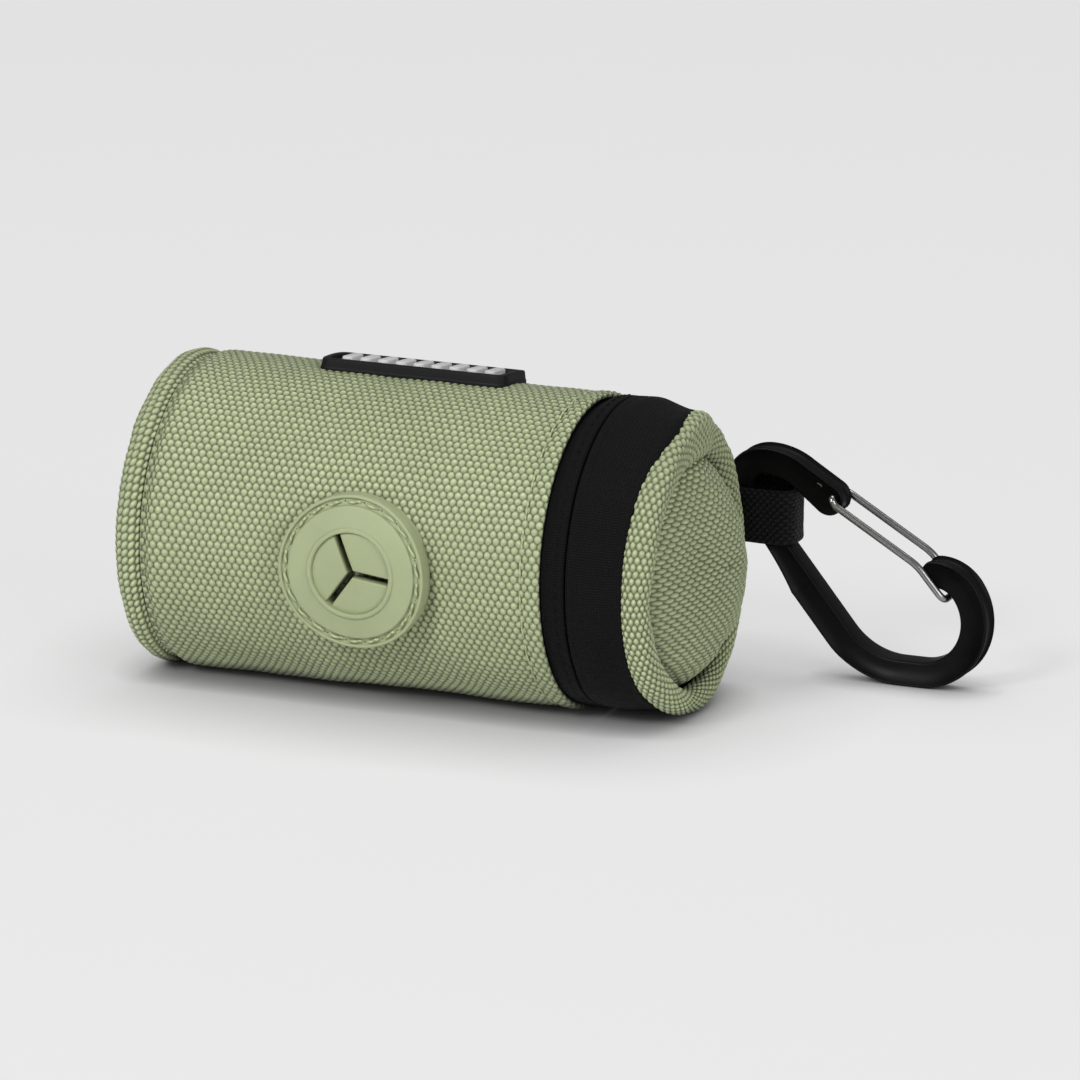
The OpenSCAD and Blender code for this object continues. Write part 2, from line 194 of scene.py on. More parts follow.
def new_piece(name, points, faces, body, finish, slot, uv=None):
    """A mesh from points in mm, riding on a body. uv holds one pair for each face corner."""
    mesh = bpy.data.meshes.new(name)
    mesh.from_pydata((np.reshape(points, (-1, 3)) * MM).tolist(), [], faces)
    if uv is not None:
        layer = mesh.uv_layers.new(name="Cloth")
        layer.data.foreach_set("uv", np.asarray(uv, np.float32).ravel())
    mesh.polygons.foreach_set("use_smooth", [True] * len(mesh.polygons))
    mesh.materials.append(finish)
    mesh.update()
    piece = bpy.data.objects.new(name, mesh)
    bpy.context.scene.collection.objects.link(piece)
    if body:
        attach(piece, body)
    return piece


def grid_faces(rows, columns, closed_rows=False, closed_columns=False, flip=False):
    """Quads of a grid of points, and the row and column of each corner before it wraps round."""
    faces, corners = [], []
    for i in range(rows if closed_rows else rows - 1):
        for j in range(columns if closed_columns else columns - 1):
            quad = [(i, j), (i + 1, j), (i + 1, j + 1), (i, j + 1)]
            if flip:
                quad.reverse()
            faces.append([(a % rows) * columns + b % columns for a, b in quad])
            corners.extend(quad)
    return faces, corners


def end_caps(rows, columns, first=0, flip=False):
    """The two faces that close the ends of a grid rolled into a tube."""
    start = [first + k for k in range(columns)]
    end = [first + (rows - 1) * columns + k for k in reversed(range(columns))]
    return [start[::-1], end[::-1]] if flip else [start, end]


def sheet_piece(name, grid, body, finish, slot, cloth_u=None, cloth_v=None, flip=False, drift=None):
    """A piece from a grid that meets itself both ways.

    cloth_u and cloth_v are the yarn counts at its rows and columns, and drift is how far the yarns stray.
    """
    rows, columns = grid.shape[:2]
    faces, corners = grid_faces(rows, columns, True, True, flip)
    uv = None
    if cloth_u is not None:
        if len(cloth_u) == rows:
            cloth_u = np.append(cloth_u, 2 * cloth_u[-1] - cloth_u[-2])
        a, b = np.array(corners).T
        uv = np.stack([np.asarray(cloth_u)[a], np.asarray(cloth_v)[b]], -1)
        if drift is not None:
            uv += drift[a % rows, b % columns]
    return new_piece(name, grid, faces, body, finish, slot, uv)


def yarn_drift(points, seed=0.0):
    """How far the yarns stray from straight rows at each point, in yarn counts."""
    strays = [0.2 * wander(points, 7.0, seed + k) + 0.07 * wander(points, 1.7, seed + k + 2) for k in (40.0, 41.0)]
    return np.stack(strays, -1)


FLOAT_HALF = (1.0, 0.66)
FLOAT_GAP = 0.3


def weave_height(u, v):
    """Height of the cloth's staggered floats at yarn counts u and v, from FLOAT_GAP between them to 1 on top."""

    def dome(shift):
        across, along = np.mod(u + shift, 2) - 1, np.mod(v + shift, 2) - 1
        return 1 - (across / FLOAT_HALF[0]) ** 2 - (along / FLOAT_HALF[1]) ** 2

    return np.maximum(FLOAT_GAP, np.sqrt(np.maximum(0, np.maximum(dome(0), dome(1)))))


def even(count):
    """The nearest even whole number, so that a weave meets itself round a closed piece."""
    return max(2, 2 * round(count / 2))


def wander(points, scale, seed=0.0):
    """Smooth noise from -1 to 1 at each point, with bumps about scale mm across."""
    shift = Vector((seed * 7.3, seed * 3.1, -seed * 5.7))
    return np.array([noise.noise(Vector(p) / scale + shift) for p in np.reshape(points, (-1, 3))]).reshape(
        np.shape(points)[:-1]
    )


def ramp(x, start, end):
    """0 before start, 1 after end, smooth between them."""
    t = np.clip((np.asarray(x, float) - start) / (end - start), 0, 1)
    return t * t * (3 - 2 * t)


def bell(x, middle, width, power=2):
    """1 at the middle, falling off to 0 beyond the width. A higher power has a flatter top."""
    return np.exp(-(((x - middle) / width) ** power))


def turns_of(count):
    """That many angles, evenly round a full turn."""
    return np.linspace(0, FULL, count, endpoint=False)


def about_turn(angle):
    """The same angle between minus half a turn and half a turn."""
    return np.mod(np.asarray(angle) + math.pi, FULL) - math.pi


def noise_points(x, radius, angle):
    """Points on a cylinder to take noise at, so that it meets itself all the way round."""
    return np.stack(np.broadcast_arrays(x, radius * np.cos(angle), radius * np.sin(angle)), -1)


def unit(vector):
    return vector / np.linalg.norm(vector)


def turned(centre, radius, angle):
    """The flat point at a radius from the centre, at an angle in degrees."""
    a = math.radians(angle)
    return np.asarray(centre, float) + radius * np.array((math.cos(a), math.sin(a)))


def run_along(points):
    """Distance along a path to each of its points."""
    steps = np.linalg.norm(np.diff(points, axis=0), axis=1)
    return np.concatenate([[0], np.cumsum(steps)])


def resample(points, count, endpoint=True):
    """Evenly spaced points along a path."""
    run = run_along(points)
    at = np.linspace(0, run[-1], count, endpoint=endpoint)
    return np.stack([np.interp(at, run, column) for column in points.T], -1)


def rounded_path(corners, radius, parts, share=0.49):
    """A path through corners, each turned on a curve that starts radius away, or nearer where sides are short."""
    corners = [np.array(corner, float) for corner in corners]
    out = [corners[0]]
    for before, here, after in zip(corners, corners[1:], corners[2:]):
        cut = min(radius, share * np.linalg.norm(before - here), share * np.linalg.norm(after - here))
        start, end = here + unit(before - here) * cut, here + unit(after - here) * cut
        out += [(1 - t) ** 2 * start + 2 * t * (1 - t) * here + t * t * end for t in np.linspace(0, 1, parts + 1)]
    return np.array(out + [corners[-1]])


def round_x(x, radius, angle):
    """Points at a radius from the tube's axis. The angle starts at the top and turns to the front."""
    return np.stack(np.broadcast_arrays(x, -radius * np.sin(angle), AXIS_Z + radius * np.cos(angle)), -1)


def settle(points, floor=0.0):
    """Flattens points that would sink below the floor."""
    points[..., 2] = np.maximum(points[..., 2], floor)
    return points


def swept(path, ring):
    """A grid of points: ring, pairs across and up, carried along an open path without twisting."""
    path = np.asarray(path, float)
    ahead = np.roll(path, -1, 0) - np.roll(path, 1, 0)
    ahead[0], ahead[-1] = path[1] - path[0], path[-1] - path[-2]
    ahead /= np.linalg.norm(ahead, axis=1)[:, None]
    up = np.array((0.0, 0.0, 1.0)) if abs(ahead[0][2]) < 0.9 else np.array((0.0, 1.0, 0.0))
    grid = np.empty((len(path), len(ring), 3))
    ring = np.asarray(ring)
    for i in range(len(path)):
        across = unit(np.cross(ahead[i], up))
        up = np.cross(across, ahead[i])
        grid[i] = path[i] + np.outer(ring[:, 0], across) + np.outer(ring[:, 1], up)
    return grid


THREAD_END = 0.35


def thread_grids(paths, radius, sides=8):
    """Capped threads along several paths, drawn in to THREAD_END at both ends, as points and faces."""
    points, faces = [], []
    around = turns_of(sides)
    ring = radius * np.stack([np.cos(around), np.sin(around)], -1)
    for path in paths:
        grid = swept(path, ring)
        for end in (0, -1):
            middle = grid[end].mean(0)
            grid[end] = middle + (grid[end] - middle) * THREAD_END
        first, rows = len(points), len(path)
        quads, _ = grid_faces(rows, sides, closed_columns=True)
        points.extend(grid.reshape(-1, 3).tolist())
        faces.extend([[first + k for k in quad] for quad in quads])
        faces += end_caps(rows, sides, first)
    return points, faces


# --- Finishes -------------------------------------------------------------------------------


class Finish:
    """One material and the nodes that make it."""

    def __init__(self, name, roughness=0.6, colour=(0.5, 0.5, 0.5)):
        self.material = bpy.data.materials.new(name)
        self.material.use_nodes = True
        self.tree = self.material.node_tree
        self.shader = next(n for n in self.tree.nodes if n.type == "BSDF_PRINCIPLED")
        self.shader.inputs["Roughness"].default_value = roughness
        self.shader.inputs["Base Color"].default_value = (*colour, 1)

    def node(self, kind, inputs=(), **settings):
        made = self.tree.nodes.new(kind)
        for key, value in settings.items():
            setattr(made, key, value)
        for key, value in dict(inputs).items():
            self.put(made.inputs[key], value)
        return made

    def put(self, socket, value):
        if isinstance(value, bpy.types.NodeSocket):
            self.tree.links.new(value, socket)
        elif hasattr(value, "__len__") and len(value) == 3 and socket.type == "RGBA":
            socket.default_value = (*value, 1)
        else:
            socket.default_value = value

    def math(self, operation, a, b=0.0, c=0.0):
        made = self.node("ShaderNodeMath", operation=operation)
        for socket, value in zip(made.inputs, (a, b, c)):
            self.put(socket, value)
        return made.outputs[0]

    def fit(self, value, low, high, to_low=0.0, to_high=1.0):
        made = self.node(
            "ShaderNodeMapRange",
            {"Value": value, "From Min": low, "From Max": high, "To Min": to_low, "To Max": to_high},
        )
        return made.outputs["Result"]

    def times(self, value, *others):
        """The product of all the values."""
        for other in others:
            value = self.math("MULTIPLY", value, other)
        return value

    def vary(self, value, low, high):
        """Noise, most of which lies between 0.3 and 0.7, brought between low and high."""
        return self.fit(value, 0.3, 0.7, low, high)

    def vector(self, x, y, z=0.0):
        return self.node("ShaderNodeCombineXYZ", {0: x, 1: y, 2: z}).outputs[0]

    def tint(self, colour, shade):
        """Colours the shader, lighter or darker by the shade."""
        tone = self.vector(shade, shade, shade)
        mix = self.node("ShaderNodeMix", {"Factor": 1.0, 6: colour, 7: tone}, data_type="RGBA", blend_type="MULTIPLY")
        self.set(Base_Color=mix.outputs[2])

    def shelter(self, distance, samples):
        """1 in the open, less where something stands within the distance, in metres."""
        return self.node("ShaderNodeAmbientOcclusion", {"Distance": distance}, samples=samples).outputs["AO"]

    def place(self):
        """The point on the object, in metres."""
        return self.node("ShaderNodeTexCoord").outputs["Object"]

    def noise(self, scale, at=None, detail=3.0, stretch=None, rough=0.55):
        at = self.place() if at is None else at
        if stretch is not None:
            at = self.node("ShaderNodeMapping", {"Vector": at, "Scale": stretch}).outputs[0]
        return self.node(
            "ShaderNodeTexNoise", {"Vector": at, "Scale": scale, "Detail": detail, "Roughness": rough}
        ).outputs["Fac"]

    def bump(self, height, depth, strength=1.0):
        """Raises the surface by a height times a depth in mm."""
        made = self.node("ShaderNodeBump", {"Height": height, "Distance": depth * MM, "Strength": strength})
        self.put(self.shader.inputs["Normal"], made.outputs[0])

    def set(self, **values):
        """Sets the shader's sockets, whose spaces are written as underlines."""
        for key, value in values.items():
            self.put(self.shader.inputs[key.replace("_", " ")], value)


def yarns(finish):
    """Yarn counts across and along the cloth."""
    uv = finish.node("ShaderNodeUVMap", uv_map="Cloth").outputs[0]
    split = finish.node("ShaderNodeSeparateXYZ", {0: uv})
    return split.outputs[0], split.outputs[1]


def float_weave(finish, u, v):
    """Height of the cloth's staggered floats, the same as weave_height.

    Also 1 wherever a float lies on top, and the place across that float from -1 to 1.
    """

    def dome(shift):
        across, along = [
            finish.times(finish.math("WRAP", finish.math("ADD", count, shift), 1.0, -1.0), 1 / half)
            for count, half in zip((u, v), FLOAT_HALF)
        ]
        out = finish.math("ADD", finish.math("POWER", across, 2.0), finish.math("POWER", along, 2.0))
        return finish.math("SUBTRACT", 1.0, out), along

    (one, one_along), (two, two_along) = dome(1.0), dome(2.0)
    first = finish.math("GREATER_THAN", one, two)
    place = finish.math("MULTIPLY_ADD", first, finish.math("SUBTRACT", one_along, two_along), two_along)
    rise = finish.math("SQRT", finish.math("MAXIMUM", finish.math("MAXIMUM", one, two), 0.0))
    return finish.math("MAXIMUM", rise, FLOAT_GAP), finish.math("GREATER_THAN", rise, FLOAT_GAP), place


FIBRES = 7.0
FIBRE_RELIEF = 0.22


def woven_finish(name, colour, relief, sheen=0.06, painted_float_highlight=0.1, shade=0.42, light=1.16, roughness=0.45, gloss=0.5):
    """Cloth of thick yarn: floats of varied tone, gaps, and fibres along each yarn, with painted shade and painted
    highlights.

    shade and light are the brightness painted into the gaps as shade and onto the floats as light. The floats of one
    yarn family are painted lighter and those of the other darker, a painted highlight.
    """
    cloth = Finish(name, roughness, colour)
    u, v = yarns(cloth)
    height, top, place = float_weave(cloth, u, v)
    fibre_u = cloth.noise(1.3, cloth.vector(cloth.times(u, FIBRES), v), 2.0)
    fibre_v = cloth.noise(1.3, cloth.vector(u, cloth.times(v, FIBRES), 4.0), 2.0)
    between = cloth.math("SUBTRACT", 1.0, top)
    fibre = cloth.math("ADD", cloth.times(fibre_u, top), cloth.times(fibre_v, between))
    tone_with_painted_light = cloth.times(
        # painted shade and light: the gaps are darkened and the floats lightened by the height of the weave
        cloth.fit(height, FLOAT_GAP, 0.95, shade, light),
        cloth.vary(cloth.noise(55.0, detail=4.0), 0.94, 1.06),
        cloth.vary(fibre, 0.88, 1.12),
        # painted highlight: the floats of one yarn family are lightened and those of the other darkened, as their
        # fibres catch the light
        cloth.fit(top, 0.0, 1.0, 1 - painted_float_highlight, 1 + painted_float_highlight),
        # painted highlight: the upper edge of each float is lightened and its lower side darkened
        cloth.fit(place, -0.75, 0.25, 1.5, 0.86),
        cloth.vary(cloth.noise(0.7, cloth.vector(u, v, 9.0), 1.0), 0.94, 1.06),
        # painted shade: the colour is darkened where the ambient occlusion finds something within 4 mm, in creases
        # and gaps
        cloth.fit(cloth.shelter(0.004, 8), 0.25, 0.8, 0.3, 1.0),
    )
    cloth.tint(colour, tone_with_painted_light)
    cloth.set(Roughness=cloth.vary(fibre, roughness - 0.08, roughness + 0.1))
    cloth.set(Sheen_Weight=sheen, Sheen_Roughness=0.4, Specular_IOR_Level=gloss)
    cloth.bump(cloth.math("MULTIPLY_ADD", fibre, FIBRE_RELIEF, height), relief)
    return cloth.material


DARK = 0.02


def rubber_finish(name, colour, grain=0.05, roughness=0.5):
    """Moulded soft rubber with a fine satin grain and faint mottling."""
    rubber = Finish(name, roughness, colour)
    cloud = rubber.noise(90.0)
    rubber.tint(colour, rubber.vary(cloud, 0.95, 1.05))
    rubber.set(Roughness=rubber.vary(cloud, roughness - 0.05, roughness + 0.07))
    rubber.set(Specular_IOR_Level=0.2 if max(colour) < DARK else 0.4)
    rubber.bump(rubber.noise(2600.0, detail=2.0), grain, 0.6)
    return rubber.material


def ribbed_finish(name, colour, relief):
    """Finely woven tape: slanting ribs that change side from row to row."""
    tape = Finish(name, 0.66, colour)
    u, v = yarns(tape)

    def ridges(count, power):
        wave = tape.math("ABSOLUTE", tape.math("SINE", tape.times(count, math.pi)))
        return tape.math("POWER", wave, power)

    slanted = tape.math("MULTIPLY_ADD", tape.math("PINGPONG", u, 1.0), 0.35, v)
    height = tape.times(ridges(slanted, 0.6), ridges(u, 0.35))
    dust = tape.noise(700.0)
    # painted shade and light: the tape is darker in the valleys between its ribs and lighter on their tops, by the
    # same height as the bump; the dust noise is random tone
    tape.tint(colour, tape.times(tape.fit(height, 0.0, 1.0, 0.55, 1.25), tape.vary(dust, 0.85, 1.15)))
    tape.set(Roughness=tape.vary(dust, 0.6, 0.76), Specular_IOR_Level=0.12)
    tape.bump(tape.math("MULTIPLY_ADD", dust, 0.3, height), relief)
    return tape.material


def coat_finish(name, colour, roughness=0.42):
    """Baked matte coat over metal, a little polished where it rubs."""
    coat = Finish(name, roughness, colour)
    rub = coat.noise(120.0, detail=4.0)
    coat.tint(colour, coat.fit(rub, 0.35, 0.75, 0.85, 1.35))
    coat.set(Roughness=coat.vary(rub, roughness - 0.06, roughness + 0.08), Specular_IOR_Level=0.1)
    coat.bump(coat.noise(1500.0), 0.012, 0.6)
    return coat.material


def steel_finish(name, colour):
    """Drawn steel wire with fine lines along it."""
    steel = Finish(name, 0.24, colour)
    lines = steel.noise(500.0, detail=2.0, stretch=(0.15, 1.0, 0.25))
    steel.tint(colour, steel.vary(steel.noise(160.0), 0.94, 1.03))
    steel.set(Metallic=1.0, Roughness=steel.vary(lines, 0.21, 0.28))
    steel.bump(lines, 0.002, 0.3)
    return steel.material


def film_finish(name, colour):
    """Thin bag film wound tight, with fine creases."""
    film = Finish(name, 0.38, colour)
    crease = film.noise(150.0, detail=5.0, stretch=(0.5, 1.0, 1.0))
    wound = film.noise(60.0, detail=2.0, stretch=(0.2, 1.0, 1.0))
    film.tint(colour, film.times(film.vary(crease, 0.8, 1.15), film.vary(wound, 0.93, 1.07)))
    film.set(Roughness=film.vary(crease, 0.3, 0.53))
    film.bump(crease, 0.25, 0.7)
    return film.material


def board_finish(name, colour):
    """Board, felt or foam with short fibres."""
    board = Finish(name, 0.85, colour)
    fibre = board.noise(900.0, detail=4.0, stretch=(1.0, 0.4, 0.4))
    board.tint(colour, board.vary(fibre, 0.78, 1.18))
    board.bump(fibre, 0.05)
    return board.material


def thread_finish(name, colour):
    """Twisted sewing thread."""
    thread = Finish(name, 0.55, colour)
    twist = thread.node(
        "ShaderNodeTexWave", {"Vector": thread.place(), "Scale": 420.0, "Distortion": 1.5},
        wave_type="BANDS", bands_direction="DIAGONAL",
    ).outputs["Fac"]
    sheen, gloss = (0.0, 0.1) if max(colour) < DARK else (0.2, 0.5)
    # painted shade and light: darker in the grooves of the twist and lighter on its plies, by the same bands as the
    # bump
    thread.tint(colour, thread.fit(twist, 0.0, 1.0, 0.7, 1.2))
    thread.set(Sheen_Weight=sheen, Specular_IOR_Level=gloss)
    thread.bump(twist, 0.06)
    return thread.material


def floor_finish(name, colour):
    """A matte floor as bright as the backdrop elsewhere, which keeps the object's shadow from the lamps and has a
    painted contact shadow in its glow.
    """
    floor = Finish(name, 0.9, colour)
    floor.tint(colour, floor.vary(floor.noise(40.0, detail=4.0), 0.995, 1.005))
    floor.set(Specular_IOR_Level=0.0)
    # painted shadow: the glow that the camera sees is darkened where the ambient occlusion finds the object within 30
    # mm and within 7 mm
    glow_with_painted_shadow = floor.times(floor.math("POWER", floor.shelter(0.03, 12), 0.6), floor.shelter(0.007, 12), 1.055)
    glow = floor.node("ShaderNodeEmission", {"Color": colour, "Strength": glow_with_painted_shadow}).outputs[0]
    seen = floor.times(floor.node("ShaderNodeLightPath").outputs["Is Camera Ray"], 0.75)
    mixed = floor.node("ShaderNodeMixShader", {0: seen, 1: floor.shader.outputs[0], 2: glow}).outputs[0]
    floor.tree.links.new(mixed, floor.tree.nodes["Material Output"].inputs[0])
    return floor.material


FINISHES = {}


def finish(name):
    """The named finish, made once."""
    if name in FINISHES:
        return FINISHES[name]
    scene = bpy.context.scene
    sage, patch = tuple(scene.dispenser_cloth.colour), tuple(scene.dispenser_patch.colour)
    makers = {
        # The woven finishes paint shade into gaps and creases and highlights onto floats; the ribbed and thread
        # finishes paint shade into their grooves.
        "cover_cloth": (woven_finish, sage, scene.dispenser_cloth.relief),
        "patch_rubber": (rubber_finish, patch),
        "label_rubber": (rubber_finish, (0.0035, 0.0035, 0.004), 0.05, 0.55),
        "label_ribs": (rubber_finish, (0.62, 0.62, 0.62)),
        "zip_tape": (ribbed_finish, (0.0038, 0.0038, 0.0041), 0.12),
        "binding": (ribbed_finish, (0.007, 0.007, 0.0075), 0.15),
        "coil_nylon": (rubber_finish, (0.0105, 0.0105, 0.0115), 0.02, 0.35),
        "webbing": (woven_finish, (0.006, 0.006, 0.0065), 0.5, 0.02, 0.1, 0.35, 1.6, 0.6, 0.15),
        "lining": (woven_finish, (0.16, 0.165, 0.165), 0.05, 0.15, 0.05, 0.8, 1.1, 0.5, 0.4),
        "clip_coat": (coat_finish, (0.0032, 0.0032, 0.0034)),
        "slider_coat": (coat_finish, (0.016, 0.016, 0.017), 0.36),
        "wire_steel": (steel_finish, (0.34, 0.34, 0.34)),
        "foam": (board_finish, (0.75, 0.75, 0.72)),
        "bag_film": (film_finish, (0.045, 0.085, 0.05)),
        "core_board": (board_finish, (0.36, 0.25, 0.15)),
        "sage_thread": (thread_finish, tuple(1.12 * c for c in sage)),
        "dark_thread": (thread_finish, tuple(0.35 * c for c in sage)),
        "black_thread": (thread_finish, (0.0045, 0.0045, 0.005)),
    }
    maker, *options = makers[name]
    FINISHES[name] = maker(name, *options)
    return FINISHES[name]


def dress(node, name):
    """Gives a CAD node's own mesh a finish."""
    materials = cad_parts[node].data.materials
    if not materials:
        materials.append(None)
    for k in range(len(materials)):
        materials[k] = finish(name)


# --- Cover ----------------------------------------------------------------------------------

PATCH_X = sum(c[0] for c in box_mm("dispenser_patch")) / 2
PATCH_FACE_R = -box_mm("dispenser_patch")[0][1]
FRONT, BOTTOM, REAR = 0.5 * math.pi, math.pi, 1.5 * math.pi
CLOTH_T = 0.8
YARN_RISE = 0.36
PANEL_YARNS = (1.0, 0.72)
FLOOR_GAP = 0.04
PUCKER_R = 15.5
FULL_CLOSED, FULL_OPEN = 0.9, 0.45
FOOT_OUT = 1.1
SEAM_DROP, SEAM_SWELL = 1.9, 0.12
STITCH_DROP, HEM_RISE = 0.22, 0.16


def cover_slack(x, angle, slack):
    """How far the cover stands off a true cylinder, in mm: broad waves, and puckers round the patch."""
    x, angle = np.broadcast_arrays(x, angle)
    at = noise_points(x, 25, angle)
    wave = wander(at, 17.0, 1.0) + 0.45 * wander(at, 7.0, 2.0)
    along, across = x - PATCH_X, 25 * (angle - FRONT)
    pucker = 0.5 * bell(np.hypot(along, across), PUCKER_R, 2.6) * np.cos(5 * np.arctan2(across, along) + 0.7)
    ends = ramp(x, CLOSED_X, CLOSED_X + 7) * (1 - ramp(x, EDGE_X - 7, EDGE_X))
    return slack * ends * (wave + pucker)


def plump(points):
    """Fills the tube out above the floor, most at its closed end, whose foot stands out a little."""
    x, z = points[..., 0].copy(), points[..., 2]
    full = FULL_CLOSED + (FULL_OPEN - FULL_CLOSED) * ramp(x, CLOSED_X, EDGE_X)
    foot = FOOT_OUT * (1 - ramp(x, CLOSED_X - 4, CLOSED_X + 14))
    points[..., 2] = z + full * np.clip(z / (2 * TUBE_R), 0, 1)
    points[..., 0] = x - foot * np.clip(1 - z / (2 * TUBE_R), 0, 1) ** 1.3
    return points


def cover_profile(hem, rows):
    """x and radius of the cover from the piping's seam to the folded edge, then back inside."""
    stitched = EDGE_X - hem
    x = np.linspace(CLOSED_X - 0.5, EDGE_X - 0.5, rows)
    r = np.full(rows, TUBE_R)
    r -= SEAM_DROP * (1 - ramp(x, CLOSED_X - 0.6, CLOSED_X + 2.2))
    r += SEAM_SWELL * bell(x, CLOSED_X + 3.2, 1.6)
    r -= STITCH_DROP * bell(x, stitched, 0.55)
    r += HEM_RISE * ramp(x, stitched, stitched + 1.6)
    turn = np.linspace(0.25, 1, 5) * math.pi
    fold_r = CLOTH_T / 2 + 0.08
    x = np.concatenate([x, EDGE_X - fold_r + fold_r * np.sin(turn), np.linspace(EDGE_X - 4, CLOSED_X, 8)])
    r = np.concatenate([r, TUBE_R - fold_r + fold_r * np.cos(turn) + HEM_RISE, np.full(8, TUBE_R - CLOTH_T + 0.04)])
    return x, r


class DISPENSER_OT_cover(Operator):
    """Makes the woven cover of the tube"""

    bl_idname = "dispenser.cover"
    bl_label = "Cover"

    def execute(self, context):
        cloth, cover = context.scene.dispenser_cloth, context.scene.dispenser_cover
        yarns_round = even(FULL * TUBE_R / cloth.yarn_round)
        rows, around = round(3 * (EDGE_X - CLOSED_X) / cloth.yarn_along), 3 * yarns_round
        x, r = cover_profile(cover.hem, rows)
        angle = turns_of(around)
        grid = round_x(x[:, None], r[:, None], angle)
        along = run_along(np.stack([x, r], -1)) / cloth.yarn_along
        across = np.arange(around + 1) * yarns_round / around
        drift = yarn_drift(grid) * (np.arange(len(x)) < rows)[:, None, None]
        outside, base, x = drift[:rows], r[:rows, None], x[:rows, None]
        rise = weave_height(along[:rows, None] + outside[..., 0], across[:-1] + outside[..., 1]) - 0.6
        stand = cover_slack(x, angle[None, :], cloth.slack) + YARN_RISE * rise * ramp(x, CLOSED_X, CLOSED_X + 1.5)
        grid[:rows] = round_x(x, base + stand, angle)
        plump(settle(grid, FLOOR_GAP))
        piece = sheet_piece(
            "tube_cover", grid, "tube", finish("cover_cloth"), "shell_fabric", along, across, drift=drift
        )
        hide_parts("outer_shell")
        return {"FINISHED"}


def stitch_path(ends, lift, sink, steps=7):
    """A stitch between two points given as (along, angle, radius): up, along and down again."""
    (x0, a0, r0), (x1, a1, r1) = ends
    t = np.linspace(0, 1, steps)
    rise = lift * np.sqrt(np.sin(math.pi * t).clip(0))
    rise[[0, -1]] = -sink
    return round_x(x0 + (x1 - x0) * t, r0 + (r1 - r0) * t + rise, a0 + (a1 - a0) * t)


class DISPENSER_OT_topstitching(Operator):
    """Sews the hem and the seam beside the piping"""

    bl_idname = "dispenser.topstitching"
    bl_label = "Topstitching"

    def execute(self, context):
        cover = context.scene.dispenser_cover
        for name, x, radius, length, thick, thread in (
            ("hem_stitches", EDGE_X - cover.hem, TUBE_R - 0.2, cover.stitch, cover.thread / 2, "sage_thread"),
            ("seam_stitches", CLOSED_X + 0.75, TUBE_R - 1.02, 2.6, 0.17, "dark_thread"),
        ):
            count = round(FULL * radius / length)
            paths = []
            for k in range(count):
                start, end = FULL * (k + 0.09) / count, FULL * (k + 0.91) / count
                jitter = 0.12 * noise.noise(Vector((k * 0.7, x, 0)))
                path = stitch_path([(x + jitter, start, radius), (x - jitter, end, radius)], 0.14, 0.3)
                if path[:, 2].min() > 0.3:
                    paths.append(plump(path))
            points, faces = thread_grids(paths, thick)
            new_piece(name, points, faces, "tube", finish(thread), "shell_fabric")
        return {"FINISHED"}


class DISPENSER_OT_piping(Operator):
    """Makes the corded piping and the crowned panel of the closed end"""

    bl_idname = "dispenser.piping"
    bl_label = "Closed end"

    def execute(self, context):
        cloth, cover = context.scene.dispenser_cloth, context.scene.dispenser_cover
        ring_r = TUBE_R + 0.1 - cover.piping
        pitch = (cloth.yarn_along + cloth.yarn_round) / 2 / math.sqrt(2)
        turns, wraps = (4 * round(FULL * radius / pitch / 4) for radius in (ring_r, cover.piping))
        around, sides = 2 * turns, 2 * wraps
        a, s = np.meshgrid(np.arange(around) * FULL / around, np.arange(sides) * FULL / sides, indexing="ij")
        at = np.stack([20 * np.cos(a), 20 * np.sin(a), 0 * a], -1)
        lumps = 0.12 * wander(at, 6.0, 3.0) + 0.1 * wander(at, 2.2, 4.0)
        rise = weave_height((a * turns + s * wraps) / FULL / 2, (a * turns - s * wraps) / FULL / 2)
        radius = cover.piping + lumps - 0.1 + YARN_RISE * (rise - 0.5)
        grid = round_x(CLOSED_X - cover.piping + radius * np.cos(s), ring_r + radius * np.sin(s), a)
        plump(settle(grid, FLOOR_GAP))
        faces, corners = grid_faces(around, sides, True, True, True)
        row, column = np.array(corners).T / 4
        uv = np.stack([row + column, row - column], -1)
        piping = new_piece("end_piping", grid, faces, "tube", finish("cover_cloth"), "shell_fabric", uv)
        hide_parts("closed_end_piping")
        reach = ring_r - cover.piping + 0.5
        panel = crowned_panel("closed_end_crown", "tube", CLOSED_X, -1, lambda angle: reach, 2.0, 0.35, 5.0, plump)
        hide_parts("closed_end_panel")
        return {"FINISHED"}


